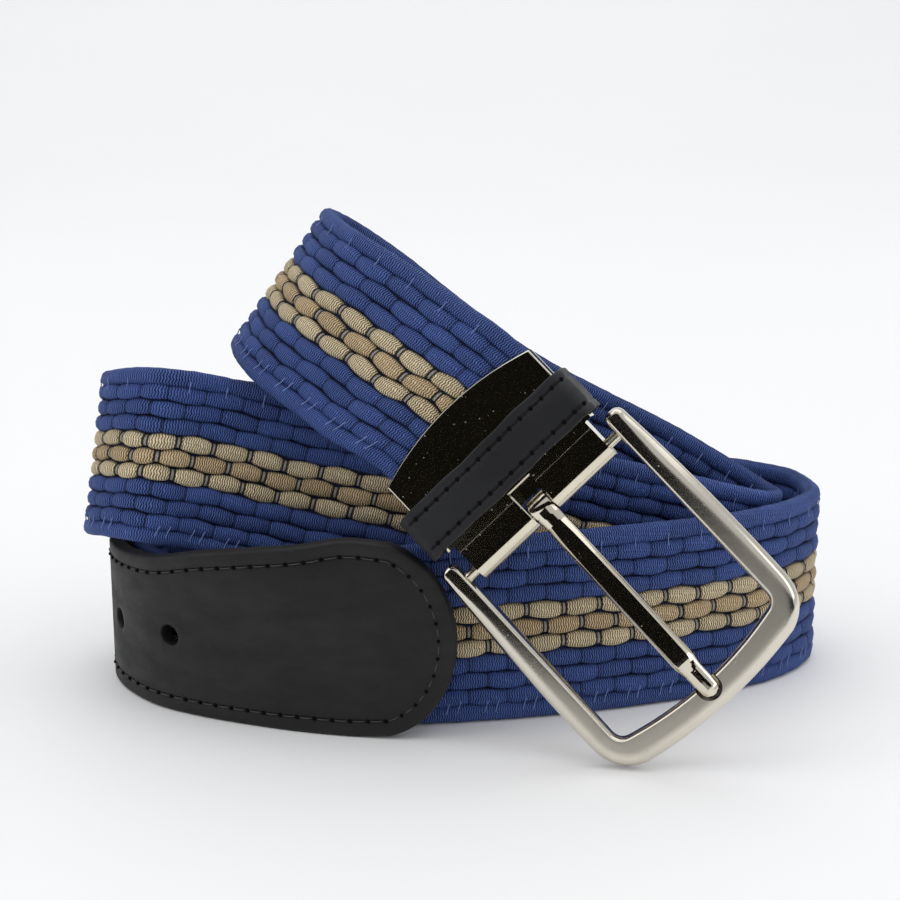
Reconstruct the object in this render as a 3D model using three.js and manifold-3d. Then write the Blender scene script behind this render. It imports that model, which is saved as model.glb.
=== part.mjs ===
// A braided stretch belt that stands coiled on its edge, its buckle end lifted and folded over the coil.
// Millimetres, +Z up, floor at z = 0. X runs along the front of the coil, Y goes back into it.
import * as THREE from 'three';
import { mergeVertices } from 'three/addons/utils/BufferGeometryUtils.js';
import Module from 'manifold-3d';

const wasm = await Module();
wasm.setup();

// Place of the coil: the middle of its floor plan
const COIL_CENTRE_X = 1.3;
const COIL_CENTRE_Y = 4.6;

// Band
const RIB_COUNT = 11;
const BAND_THICK = 3.5;
const GROOVE_THICK = 2.0;
const GRIPPED_THICK = 2.6;
const EDGE_FLAT = 1.6;
const SHARP_TURN = THREE.MathUtils.degToRad(15);

// Leather tip
const LEATHER_THICK = 3;
const LEATHER_CHAMFER = 0.5;
const HOLE_COUNT = 5;
const HOLE_DIAMETER = 4;
const FIRST_HOLE_FROM_TIP = 54.3;
const HOLE_PITCH = 16.5;
const POCKET_LENGTH = 14.8;
const POCKET_WALL = 1.2;

// Buckle: the hinge axis runs up to the right, the frame lies down to the right of it.
// The clamp's face is turned aside and tipped up a little, and the frame swings out of its plane.
const HINGE_X = 16.1;
const HINGE_Y = -20.1;
const HINGE_Z = 43.5;
const CLAMP_YAW = THREE.MathUtils.degToRad(10.7);
const CLAMP_TILT = THREE.MathUtils.degToRad(9.9);
const HINGE_TURN = THREE.MathUtils.degToRad(46);
const FRAME_SWING = THREE.MathUtils.degToRad(-3);
const HINGE_GAP = 0.3;

const PIN_DIAMETER = 2;
const PIN_LENGTH = 42;
const BORE_DIAMETER = PIN_DIAMETER + 2 * HINGE_GAP;

const CLAMP_WIDTH = 34.5;
const CLAMP_LENGTH = 21.1;
const CLAMP_ARCH = 2.7;
const CLAMP_THICK = 5.2;
const CLAMP_WALL = 0.85;
const CLAMP_NECK = 6.6;
const BARREL_DIAMETER = 4.6;
const BARREL_LENGTH = 31.5;

const KEEPER_START = 5.9;
const KEEPER_LENGTH = 9;
const KEEPER_WALL = 1.7;
const KEEPER_FIT = 0.4;
const KEEPER_ROOM = 4.4;

const FRAME_INNER_WIDTH = 36;
const FRAME_THICK = 3.5;
const FRAME_BEVEL = 0.9;
const SIDE_BAR_HINGE = 3.8;
const SIDE_BAR_FAR = 4.7;
const SIDE_BAR_BOW = 0.5;
const FAR_BAR = 5.5;
const FRAME_REACH = 46;
const FRAME_NOSE = 4;
const NOSE_ROUND = 2;
const FRAME_CORNER = 8.7;
const FRAME_CORNER_WIDTH = 5.8;
const FRAME_INNER_CORNER = 2;
const FAR_BAR_BOW = 1.6;
const FAR_BAR_INNER_BOW = 2.1;
const NOTCH_WIDTH = 4.6;
const NOTCH_DEPTH = 1.3;
const NOTCH_END = 44.2;

const PRONG_WIDTH = 4.2;
const PRONG_EYE_DIAMETER = 4.6;
const PRONG_SLOT = 4.7;
const SLOT_LENGTH = 5.4;
const SLOT_FLOOR = -1.4;
const EYE_ROOM = 2.7;

const COLOURS = {
  band: 0x2c4a8c,
  leather: 0x222225,
  clamp: 0x3a3835,
  nickel: 0xb9b4a8,
  steel: 0xcfccc4,
};

// The clamp's axes: along the hinge, towards the strap, and out of the front face
const outOfFront = new THREE.Vector3(
  -Math.sin(CLAMP_YAW) * Math.cos(CLAMP_TILT),
  -Math.cos(CLAMP_YAW) * Math.cos(CLAMP_TILT),
  Math.sin(CLAMP_TILT),
);
const level = new THREE.Vector3(Math.cos(CLAMP_YAW), -Math.sin(CLAMP_YAW), 0);
const rise = new THREE.Vector3().crossVectors(outOfFront, level);
const hingeDirection = level.clone().multiplyScalar(Math.cos(HINGE_TURN));
hingeDirection.addScaledVector(rise, Math.sin(HINGE_TURN));
const strapDirection = new THREE.Vector3().crossVectors(outOfFront, hingeDirection);
const hingePoint = new THREE.Vector3(HINGE_X, HINGE_Y, HINGE_Z);

// Stations of the band and the leather: the middle of a section, and the run of its width direction
// in X and Y for each millimetre of rise
const station = (x, y, z, leanX, leanY, width) => ({ x, y, z, leanX, leanY, width });

function clampStation(distance) {
  const place = hingePoint.clone().addScaledVector(strapDirection, distance);
  const leanX = hingeDirection.x / hingeDirection.z;
  const leanY = hingeDirection.y / hingeDirection.z;
  return station(place.x, place.y, place.z, leanX, leanY, 33.4);
}

// From the clamp over the upper fold, down the back, and up again to the left bend
const liftedRun = [
  // x, y, z, leanX, leanY, width
  station(-9.5, -9, 65.2, 0.97, 0.04, 34.6),
  station(-15.7, -4, 68.8, 0.89, 0.14, 34.2),
  station(-21.6, 0.6, 72, 0.8, 0.2, 34),
  station(-27, 6.8, 74.6, 0.74, 0.28, 33.6),
  station(-30.6, 15.4, 76.3, 0.72, 0.34, 33.2),
  station(-31.6, 25.4, 76.2, 0.72, 0.34, 33),
  station(-28.2, 31, 73.2, 0.7, 0.18, 33.6),
  station(-19.5, 32, 66.6, 0.68, 0.05, 34.6),
  station(6, 26, 47.9, 0.64, 0, 35),
  station(34.3, 22.4, 33.4, 0.6, 0, 35),
  station(47, 20.8, 26.4, 0.52, 0, 34.5),
  station(54.2, 19.8, 22.5, 0.44, 0, 34),
  station(57.4, 17.2, 20.8, 0.4, 0, 34),
  station(55, 14.4, 20.9, 0.34, 0, 34),
  station(43.5, 11.4, 23.9, 0.28, 0, 34.4),
  station(23.9, 7, 29.1, 0.28, 0.06, 34.8),
  station(-9.2, 4.4, 36.9, 0.28, 0.24, 34.2),
  station(-30.2, 5, 41, 0.26, 0.34, 33.4),
  station(-44.2, 2.4, 45.2, 0.24, 0.24, 33),
];

// The upper left bend and the outer back run down to the floor
const outerRun = [
  station(-54.7, -0.2, 47.6, 0.2, 0.06, 33.2),
  station(-61.4, 3.4, 47.2, 0.18, 0, 33),
  station(-65.6, 9.4, 45.6, 0.16, 0, 32.6),
  station(-66.8, 17, 43.8, 0.16, 0, 32.6),
  station(-65.6, 25.5, 42.2, 0.16, 0, 33),
  station(-60.4, 33.6, 40, 0.18, 0, 33.6),
  station(-50, 39.4, 37.4, 0.2, 0, 34),
  station(-30, 42.2, 33.6, 0.2, 0, 34.6),
  station(4, 43, 27.6, 0.18, 0, 35),
  station(34, 43, 22, 0.14, 0, 35.4),
  station(54, 42.2, 19.2, 0.06, 0, 35.6),
];

// A section that stands upright on the floor
const standing = (x, y, width) => station(x, y, width / 2, 0, 0, width);

// The right bend, the front run, the hidden bend inside the leather, and the back runs to the pocket
const floorRun = [
  station(63.6, 40, 18.1, 0, 0, 36),
  station(69.2, 35.2, 17.96, 0, 0, 35.8),
  standing(71.6, 28.4, 35.4),
  standing(71.3, 22.6, 35.4),
  standing(68.3, 16.9, 35.4),
  standing(62.4, 10.5, 35.5),
  standing(50.6, 3.2, 35.5),
  standing(27.4, -5.6, 35.5),
  standing(1.5, -11.3, 35),
  standing(-16, -12.6, 33.4),
  standing(-30, -10, 31.2),
  standing(-41.5, -5.6, 29),
  standing(-50.4, -0.4, 28.4),
  standing(-57, 6.6, 28.2),
  standing(-59.9, 14.5, 28.2),
  standing(-58.2, 22, 28.4),
  standing(-52.4, 27.6, 29.2),
  standing(-42, 30.2, 31),
  standing(-22, 31, 34),
  standing(12, 31.2, 35),
  standing(36, 31.2, 35),
  standing(41.4, 32, 35),
  standing(43, 34.2, 35),
  standing(41.4, 36.4, 35),
  standing(36, 37.2, 35),
  standing(12.5, 37.2, 34.8),
  standing(9.4, 37.2, 34.6),
  standing(-7, 37, 33.4),
];

const grippedRun = [clampStation(CLAMP_NECK), clampStation(15), clampStation(24.8)];
const bandStations = [...grippedRun, ...liftedRun, ...outerRun, ...floorRun];

const leatherStations = [
  station(7, 37.2, 17.6, 0, 0, 35.2),
  station(-10, 36.9, 17.6, 0, 0, 35.2),
  station(-20, 36.8, 17.2, 0, 0, 34.4),
  station(-36, 36, 16.4, 0, 0, 32.8),
  station(-49, 33.2, 15.3, 0, 0, 30.6),
  station(-57.6, 28.4, 14.6, 0, 0, 29.2),
  station(-62.6, 22, 14.2, 0, 0, 28.4),
  station(-64.4, 15, 14.1, 0, 0, 28.2),
  station(-62.8, 8.4, 14.3, 0, -0.04, 28.6),
  station(-58.8, 1.2, 14.7, 0, -0.08, 29.4),
  station(-53.6, -4.6, 15.2, 0, -0.1, 30.4),
  station(-45.8, -9.4, 16.3, 0, -0.1, 32.6),
  station(-36.2, -13.3, 17.1, 0, -0.08, 34.2),
  station(-26.8, -15.9, 17.7, 0, -0.04, 35.4),
  station(-18.6, -17.2, 18.4, 0, 0, 36.8),
  station(-10.6, -18.5, 18.4, 0, 0, 35.9),
];
const LEATHER_END_X = 1.2;
const LEATHER_END_Y = -20;
const LEATHER_END_Z = 18.1;
const TIP_START = 0.25;

// Smooth run through stations: place and shape share one parameter, a row of the table for each unit
class Run {
  constructor(stations) {
    this.rows = stations.length - 1;
    this.place = new THREE.CatmullRomCurve3(stations.map((row) => new THREE.Vector3(row.x, row.y, row.z)));
    const shapes = stations.map((row) => new THREE.Vector3(row.leanX, row.leanY, row.width));
    this.shape = new THREE.CatmullRomCurve3(shapes, false, 'catmullrom', 0.5);
  }

  // Middle, width direction, thickness direction and width at a row number
  at(row) {
    const share = row / this.rows;
    const middle = this.place.getPoint(share);
    const shape = this.shape.getPoint(share);
    const along = this.place.getTangent(share);
    const across = new THREE.Vector3(shape.x, shape.y, 1).normalize();
    const through = new THREE.Vector3().crossVectors(across, along).normalize();
    return { middle, along, across, through, width: shape.z };
  }

  // Row numbers to put sections at: the stations, and half-way between two where the run turns sharply
  sectionRows() {
    const rows = [0];
    for (let row = 0; row < this.rows; row += 1) {
      const start = this.place.getTangent(row / this.rows);
      const end = this.place.getTangent((row + 1) / this.rows);
      if (start.angleTo(end) > SHARP_TURN) {
        rows.push(row + 0.5);
      }
      rows.push(row + 1);
    }
    return rows;
  }

  lengthTo(row, pieces = 40) {
    let total = 0;
    let last = this.place.getPoint(0);
    const count = Math.max(1, Math.round(pieces * row));
    for (let index = 1; index <= count; index += 1) {
      const next = this.place.getPoint((index / count) * (row / this.rows));
      total += next.distanceTo(last);
      last = next;
    }
    return total;
  }
}

// Closed mesh through rings of points, all with the same count, with flat caps at both ends
function skinRings(rings) {
  const count = rings[0].length;
  const positions = rings.flat().flatMap((point) => [point.x, point.y, point.z]);
  const faces = [];
  for (let ring = 0; ring < rings.length - 1; ring += 1) {
    for (let index = 0; index < count; index += 1) {
      const next = (index + 1) % count;
      const a = ring * count + index;
      const b = ring * count + next;
      const c = a + count;
      const d = b + count;
      faces.push(a, b, d, a, d, c);
    }
  }
  const capFaces = THREE.ShapeUtils.triangulateShape(capOutline(rings[0]), []);
  const last = (rings.length - 1) * count;
  for (const [a, b, c] of capFaces) {
    faces.push(c, b, a);
    faces.push(last + a, last + b, last + c);
  }
  const geometry = new THREE.BufferGeometry();
  geometry.setAttribute('position', new THREE.Float32BufferAttribute(positions, 3));
  geometry.setIndex(faces);
  return geometry;
}

// The first ring laid flat, in the plane that it fills
function capOutline(ring) {
  const origin = ring[0];
  const side = new THREE.Vector3().subVectors(ring[1], origin);
  const normal = new THREE.Vector3();
  for (let index = 2; normal.lengthSq() < 1; index += 1) {
    normal.crossVectors(side, new THREE.Vector3().subVectors(ring[index], origin));
  }
  side.normalize();
  const up = new THREE.Vector3().crossVectors(normal.normalize(), side);
  return ring.map((point) => {
    const offset = new THREE.Vector3().subVectors(point, origin);
    return new THREE.Vector2(offset.dot(side), offset.dot(up));
  });
}

// Ring of points of one section of the band: a flat edge, then a groove and a crest for each rib
function bandRing(section, thick) {
  const { middle, across, through, width } = section;
  const squeeze = thick / BAND_THICK;
  const front = [];
  const back = [];
  const addPair = (offset, half) => {
    front.push(middle.clone().addScaledVector(across, offset).addScaledVector(through, half));
    back.unshift(middle.clone().addScaledVector(across, offset).addScaledVector(through, -half));
  };
  const pitch = width / RIB_COUNT;
  addPair(-width / 2, (EDGE_FLAT / 2) * squeeze);
  for (let rib = 0; rib < RIB_COUNT; rib += 1) {
    const low = -width / 2 + rib * pitch;
    addPair(low + pitch / 2, (BAND_THICK / 2) * squeeze);
    if (rib < RIB_COUNT - 1) {
      addPair(low + pitch, (GROOVE_THICK / 2) * squeeze);
    }
  }
  addPair(width / 2, (EDGE_FLAT / 2) * squeeze);
  return [...front, ...back];
}

function makeBand() {
  const run = new Run(bandStations);
  const rings = run.sectionRows().map((row) => {
    const gripped = row < grippedRun.length || row >= run.rows - 1;
    return bandRing(run.at(row), gripped ? GRIPPED_THICK : BAND_THICK);
  });
  return skinRings(rings);
}

// Ring of one section of the leather: a rectangle with cut corners
function leatherRing(section, thick) {
  const { middle, across, through, width } = section;
  const long = width / 2;
  const short = thick / 2;
  const cut = LEATHER_CHAMFER;
  const corners = [
    [-long, short - cut], [-long + cut, short], [long - cut, short], [long, short - cut],
    [long, -short + cut], [long - cut, -short], [-long + cut, -short], [-long, -short + cut],
  ];
  return corners.map(([a, t]) => middle.clone().addScaledVector(across, a).addScaledVector(through, t));
}

function makeLeatherTip() {
  const run = new Run(leatherStations);
  const pocketThick = GRIPPED_THICK + 2 * (POCKET_WALL + HINGE_GAP);
  const rings = run.sectionRows().map((row) => leatherRing(run.at(row), row <= 1 ? pocketThick : LEATHER_THICK));
  // The rounded end: sections that shrink as an ellipse does from TIP_START, a share of its long half
  const last = run.at(run.rows);
  const endPoint = new THREE.Vector3(LEATHER_END_X, LEATHER_END_Y, LEATHER_END_Z);
  const widest = last.width / Math.sqrt(1 - TIP_START ** 2);
  for (const turn of [24, 45, 64, 80]) {
    const reach = Math.sin(THREE.MathUtils.degToRad(turn));
    const middle = last.middle.clone().lerp(endPoint, reach);
    const width = widest * Math.sqrt(1 - (TIP_START + (1 - TIP_START) * reach) ** 2);
    rings.push(leatherRing({ ...last, middle, width }, LEATHER_THICK));
  }
  let solid = solidOf(skinRings(rings));
  const pocket = new THREE.BoxGeometry(2 * POCKET_LENGTH, GRIPPED_THICK + 2 * HINGE_GAP, 60);
  pocket.translate(leatherStations[0].x, leatherStations[0].y - 0.1, leatherStations[0].z);
  solid = solid.subtract(solidOf(pocket));
  const runLength = run.lengthTo(run.rows) + last.middle.distanceTo(endPoint);
  for (let hole = 0; hole < HOLE_COUNT; hole += 1) {
    const wanted = runLength - FIRST_HOLE_FROM_TIP - hole * HOLE_PITCH;
    solid = solid.subtract(solidOf(holePlug(run, wanted)));
  }
  return geometryOf(solid);
}

// A round plug across the leather, at a length along it
function holePlug(run, wanted) {
  let row = 0;
  while (run.lengthTo(row) < wanted) {
    row += 0.05;
  }
  const { middle, through } = run.at(row);
  const plug = new THREE.CylinderGeometry(HOLE_DIAMETER / 2, HOLE_DIAMETER / 2, 3 * LEATHER_THICK, 16);
  plug.applyQuaternion(new THREE.Quaternion().setFromUnitVectors(new THREE.Vector3(0, 1, 0), through));
  plug.translate(middle.x, middle.y, middle.z);
  return plug;
}

// Solid algebra on three.js geometry
function solidOf(geometry) {
  geometry.deleteAttribute('normal');
  geometry.deleteAttribute('uv');
  const merged = mergeVertices(geometry, 1e-4);
  return new wasm.Manifold(new wasm.Mesh({
    numProp: 3,
    vertProperties: new Float32Array(merged.attributes.position.array),
    triVerts: new Uint32Array(merged.index.array),
  }));
}

function geometryOf(solid) {
  const mesh = solid.getMesh();
  const geometry = new THREE.BufferGeometry();
  geometry.setAttribute('position', new THREE.BufferAttribute(mesh.vertProperties, 3));
  geometry.setIndex(new THREE.BufferAttribute(mesh.triVerts, 1));
  return geometry;
}

// A rod along the hinge, centred on it
function hingeRod(diameter, length, sides = 20) {
  const rod = new THREE.CylinderGeometry(diameter / 2, diameter / 2, length, sides);
  return rod.rotateZ(Math.PI / 2);
}

function box(width, depth, height, x, y, z) {
  return new THREE.BoxGeometry(width, depth, height).translate(x, y, z);
}

// A plan outline made into a plate, centred on the buckle's middle plane
function plate(shape, thick, bevel = 0, curveSegments = 8) {
  const geometry = new THREE.ExtrudeGeometry(shape, {
    depth: thick - 2 * bevel,
    bevelEnabled: bevel > 0,
    bevelThickness: bevel,
    bevelSize: bevel,
    bevelOffset: -bevel,
    bevelSegments: 2,
    curveSegments,
  });
  return geometry.translate(0, 0, -thick / 2 + bevel);
}

function makeClamp() {
  const half = CLAMP_THICK / 2;
  const side = new THREE.Shape([
    new THREE.Vector2(CLAMP_LENGTH + CLAMP_ARCH, -half),
    new THREE.Vector2(CLAMP_LENGTH + CLAMP_ARCH, half),
    new THREE.Vector2(CLAMP_NECK, half),
    new THREE.Vector2(1.2, 1.6),
    new THREE.Vector2(1.2, -1.6),
    new THREE.Vector2(CLAMP_NECK, -half),
  ]);
  const body = new THREE.ExtrudeGeometry(side, { depth: CLAMP_WIDTH, bevelEnabled: false });
  // The side view was drawn with the strap direction to the right: turn it into the buckle's axes
  body.translate(0, 0, -CLAMP_WIDTH / 2);
  body.applyMatrix4(new THREE.Matrix4().makeBasis(
    new THREE.Vector3(0, 1, 0),
    new THREE.Vector3(0, 0, 1),
    new THREE.Vector3(1, 0, 0),
  ));
  const outline = new THREE.Shape();
  outline.moveTo(-CLAMP_WIDTH / 2, -CLAMP_LENGTH);
  outline.lineTo(CLAMP_WIDTH / 2, -CLAMP_LENGTH);
  outline.lineTo(CLAMP_WIDTH / 2, CLAMP_LENGTH);
  outline.quadraticCurveTo(0, CLAMP_LENGTH + 2 * CLAMP_ARCH, -CLAMP_WIDTH / 2, CLAMP_LENGTH);
  const cavityStart = CLAMP_NECK - HINGE_GAP;
  const cavity = box(2 * CLAMP_WIDTH, 40, CLAMP_THICK - 2 * CLAMP_WALL, 0, cavityStart + 20, 0);
  const shoulderLength = (CLAMP_WIDTH - BARREL_LENGTH) / 2 + 1;
  const shoulderX = BARREL_LENGTH / 2 + shoulderLength / 2;
  const cutLength = SLOT_LENGTH + BARREL_DIAMETER;
  const cutY = SLOT_LENGTH - cutLength / 2;
  const slot = box(PRONG_SLOT, cutLength, 12, 0, cutY, SLOT_FLOOR + 6);
  const eyeRoom = box(PRONG_SLOT, 2 * EYE_ROOM, 12, 0, 0, 0);
  return geometryOf(
    solidOf(body)
      .intersect(solidOf(plate(outline, 20, 0, 10)))
      .subtract(solidOf(cavity))
      .subtract(solidOf(box(shoulderLength, cutLength, 12, shoulderX, cutY, 0)))
      .subtract(solidOf(box(shoulderLength, cutLength, 12, -shoulderX, cutY, 0)))
      .add(solidOf(hingeRod(BARREL_DIAMETER, BARREL_LENGTH)))
      .subtract(solidOf(hingeRod(BORE_DIAMETER, 60)))
      .subtract(solidOf(slot))
      .subtract(solidOf(eyeRoom)),
  );
}

function makeKeeper() {
  const innerHalf = CLAMP_WIDTH / 2 + KEEPER_FIT;
  const back = -CLAMP_THICK / 2 - KEEPER_FIT;
  const front = CLAMP_THICK / 2 + KEEPER_ROOM;
  const ring = roundedRectangle(innerHalf + KEEPER_WALL, back - KEEPER_WALL, front + KEEPER_WALL, 2.2);
  ring.holes.push(roundedRectangle(innerHalf, back, front, 0.8));
  const geometry = new THREE.ExtrudeGeometry(ring, {
    depth: KEEPER_LENGTH - 0.6,
    bevelEnabled: true,
    bevelThickness: 0.3,
    bevelSize: 0.3,
    bevelOffset: -0.3,
    bevelSegments: 1,
    curveSegments: 3,
  });
  // Drawn in width and height, extruded along the strap
  geometry.rotateX(Math.PI / 2);
  return geometry.translate(0, KEEPER_START + KEEPER_LENGTH - 0.3, 0);
}

function roundedRectangle(halfWidth, low, high, radius) {
  const shape = new THREE.Shape();
  shape.moveTo(-halfWidth + radius, low);
  shape.lineTo(halfWidth - radius, low);
  shape.absarc(halfWidth - radius, low + radius, radius, -Math.PI / 2, 0);
  shape.lineTo(halfWidth, high - radius);
  shape.absarc(halfWidth - radius, high - radius, radius, 0, Math.PI / 2);
  shape.lineTo(-halfWidth + radius, high);
  shape.absarc(-halfWidth + radius, high - radius, radius, Math.PI / 2, Math.PI);
  shape.lineTo(-halfWidth, low + radius);
  shape.absarc(-halfWidth + radius, low + radius, radius, Math.PI, 1.5 * Math.PI);
  return shape;
}

function makeFrame() {
  const inner = FRAME_INNER_WIDTH / 2;
  const outerHinge = inner + SIDE_BAR_HINGE;
  const outerFar = inner + SIDE_BAR_FAR;
  const far = -FRAME_REACH;
  const innerFar = far + FAR_BAR + FAR_BAR_INNER_BOW;
  const innerTurn = inner - FRAME_INNER_CORNER;
  const outerTurn = outerFar - FRAME_CORNER_WIDTH;
  const outerEdge = far + FAR_BAR_BOW;
  const cornerStart = far + FRAME_CORNER + FAR_BAR_BOW;
  const outerBow = 2 * FAR_BAR_BOW;
  const shape = new THREE.Shape();
  shape.moveTo(outerHinge - NOSE_ROUND, FRAME_NOSE);
  shape.quadraticCurveTo(inner, FRAME_NOSE, inner, FRAME_NOSE - NOSE_ROUND);
  shape.lineTo(inner, innerFar + FRAME_INNER_CORNER);
  shape.quadraticCurveTo(inner, innerFar, innerTurn, innerFar - 0.4);
  shape.quadraticCurveTo(0, innerFar - 2 * FAR_BAR_INNER_BOW, -innerTurn, innerFar - 0.4);
  shape.quadraticCurveTo(-inner, innerFar, -inner, innerFar + FRAME_INNER_CORNER);
  shape.lineTo(-inner, FRAME_NOSE - NOSE_ROUND);
  shape.quadraticCurveTo(-inner, FRAME_NOSE, -outerHinge + NOSE_ROUND, FRAME_NOSE);
  shape.quadraticCurveTo(-outerHinge, FRAME_NOSE, -outerHinge, FRAME_NOSE - NOSE_ROUND);
  shape.quadraticCurveTo(-outerFar - SIDE_BAR_BOW, cornerStart / 2, -outerFar, cornerStart);
  shape.quadraticCurveTo(-outerFar, outerEdge + 2.1, -outerTurn, outerEdge);
  shape.quadraticCurveTo(0, outerEdge - outerBow, outerTurn, outerEdge);
  shape.quadraticCurveTo(outerFar, outerEdge + 2.1, outerFar, cornerStart);
  shape.quadraticCurveTo(outerFar + SIDE_BAR_BOW, cornerStart / 2, outerHinge, FRAME_NOSE - NOSE_ROUND);
  shape.quadraticCurveTo(outerHinge, FRAME_NOSE, outerHinge - NOSE_ROUND, FRAME_NOSE);
  const noseLength = SIDE_BAR_HINGE - 0.3;
  const noseX = inner + noseLength / 2;
  const notchRound = NOTCH_WIDTH / 2;
  const notchZ = FRAME_THICK / 2 - NOTCH_DEPTH + 2;
  const notchEnd = new THREE.CylinderGeometry(notchRound, notchRound, 4, 16);
  notchEnd.rotateX(Math.PI / 2).translate(0, notchRound - NOTCH_END, notchZ);
  const notch = box(NOTCH_WIDTH, 8, 4, 0, notchRound + 4 - NOTCH_END, notchZ);
  return geometryOf(
    solidOf(plate(shape, FRAME_THICK, FRAME_BEVEL, 6))
      .add(solidOf(hingeRod(BARREL_DIAMETER, noseLength).translate(noseX, 0, 0)))
      .add(solidOf(hingeRod(BARREL_DIAMETER, noseLength).translate(-noseX, 0, 0)))
      .subtract(solidOf(hingeRod(BORE_DIAMETER, PIN_LENGTH + 2 * HINGE_GAP)))
      .subtract(solidOf(notch))
      .subtract(solidOf(notchEnd)),
  );
}

// The prong: an eight-sided bar through sections along its length, and an eye round the pin
const prongSections = [
  // from the hinge, low, high, half width
  { reach: 0.4, low: -0.9, high: 2.0, half: 2.1 },
  { reach: 4, low: -0.3, high: 2.3, half: 2.1 },
  { reach: 20, low: 0.3, high: 2.9, half: 2.1 },
  { reach: 36.6, low: 0.9, high: 3.4, half: 2.1 },
  { reach: 37.2, low: 0.9, high: 3.0, half: 1.7 },
  { reach: 42.4, low: 0.9, high: 2.8, half: 1.65 },
  { reach: 43.4, low: 1.1, high: 2.3, half: 1.1 },
];

function makeProng() {
  const cut = 0.6;
  const rings = prongSections.map(({ reach, low, high, half }) => [
    [half, low + cut], [half, high - cut], [half - cut, high], [-half + cut, high],
    [-half, high - cut], [-half, low + cut], [-half + cut, low], [half - cut, low],
  ].map(([x, z]) => new THREE.Vector3(x, -reach, z)));
  return geometryOf(
    solidOf(skinRings(rings))
      .add(solidOf(hingeRod(PRONG_EYE_DIAMETER, PRONG_WIDTH)))
      .subtract(solidOf(hingeRod(BORE_DIAMETER, 60))),
  );
}

function finish(colour, roughness, metalness) {
  return new THREE.MeshStandardMaterial({ color: colour, roughness, metalness });
}

function piece(name, geometry, material) {
  const mesh = new THREE.Mesh(geometry, material);
  mesh.name = name;
  return mesh;
}

const leather = finish(COLOURS.leather, 0.7, 0);
const nickel = finish(COLOURS.nickel, 0.3, 1);

const swung = new THREE.Group();
swung.rotation.x = FRAME_SWING;
swung.add(
  piece('buckle_frame', makeFrame(), nickel),
  piece('buckle_prong', makeProng(), finish(COLOURS.steel, 0.2, 1)),
);

const buckle = new THREE.Group();
buckle.quaternion.setFromRotationMatrix(new THREE.Matrix4().makeBasis(hingeDirection, strapDirection, outOfFront));
buckle.position.copy(hingePoint);
buckle.add(
  piece('end_clamp', makeClamp(), finish(COLOURS.clamp, 0.15, 1)),
  piece('keeper_loop', makeKeeper(), leather),
  piece('hinge_pin', hingeRod(PIN_DIAMETER, PIN_LENGTH), nickel),
  swung,
);

const belt = new THREE.Group();
belt.add(
  piece('band', makeBand(), finish(COLOURS.band, 0.9, 0)),
  piece('leather_tip', makeLeatherTip(), leather),
  buckle,
);
belt.position.set(-COIL_CENTRE_X, -COIL_CENTRE_Y, 0);

export default belt;
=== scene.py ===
"""Looks of the braided stretch belt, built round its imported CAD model. Lengths in the tables are
millimetres in the coil's own plan; the finished meshes are in metres in the model's frame."""
import math

import bpy
import numpy as np
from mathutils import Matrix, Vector


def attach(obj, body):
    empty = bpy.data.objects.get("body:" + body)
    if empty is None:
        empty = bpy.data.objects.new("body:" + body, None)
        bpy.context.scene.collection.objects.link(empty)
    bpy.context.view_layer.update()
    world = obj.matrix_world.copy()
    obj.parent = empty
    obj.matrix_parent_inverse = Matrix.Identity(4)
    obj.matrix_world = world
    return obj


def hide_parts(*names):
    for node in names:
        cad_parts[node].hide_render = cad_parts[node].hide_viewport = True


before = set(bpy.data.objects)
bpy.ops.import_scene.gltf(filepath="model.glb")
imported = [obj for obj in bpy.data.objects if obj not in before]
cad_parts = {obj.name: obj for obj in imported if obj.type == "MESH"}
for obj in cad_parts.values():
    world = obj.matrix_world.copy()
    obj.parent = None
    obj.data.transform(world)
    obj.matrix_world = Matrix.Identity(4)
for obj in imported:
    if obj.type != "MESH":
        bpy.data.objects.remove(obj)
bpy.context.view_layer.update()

MM = 0.001
COIL_CENTRE = np.array([1.3, 4.6, 0.0])
RANDOM = np.random.RandomState(7)

# Band
RIBS = 11
BAND_HALF = 1.75
GRIPPED_HALF = 1.3
BEAD_LENGTH = 7.0
CORD_ROUND = 8.6
NECK_REACH = 4.0

# Buckle axes: along the hinge, towards the strap, out of the front face
CLAMP_YAW = math.radians(10.7)
CLAMP_TILT = math.radians(9.9)
HINGE_TURN = math.radians(46)
FRAME_SWING = math.radians(-3)
HINGE_POINT = np.array([16.1, -20.1, 43.5])
OUT = np.array([
    -math.sin(CLAMP_YAW) * math.cos(CLAMP_TILT),
    -math.cos(CLAMP_YAW) * math.cos(CLAMP_TILT),
    math.sin(CLAMP_TILT),
])
LEVEL = np.array([math.cos(CLAMP_YAW), -math.sin(CLAMP_YAW), 0.0])
RISE = np.cross(OUT, LEVEL)
HINGE = LEVEL * math.cos(HINGE_TURN) + RISE * math.sin(HINGE_TURN)
STRAP = np.cross(OUT, HINGE)
SWUNG_STRAP = STRAP * math.cos(FRAME_SWING) + OUT * math.sin(FRAME_SWING)
SWUNG_OUT = np.cross(HINGE, SWUNG_STRAP)


def clamp_station(distance):
    """A station inside the clamp, at a distance from the hinge."""
    place = HINGE_POINT + STRAP * distance
    return (*place, HINGE[0] / HINGE[2], HINGE[1] / HINGE[2], 33.4)


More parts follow.
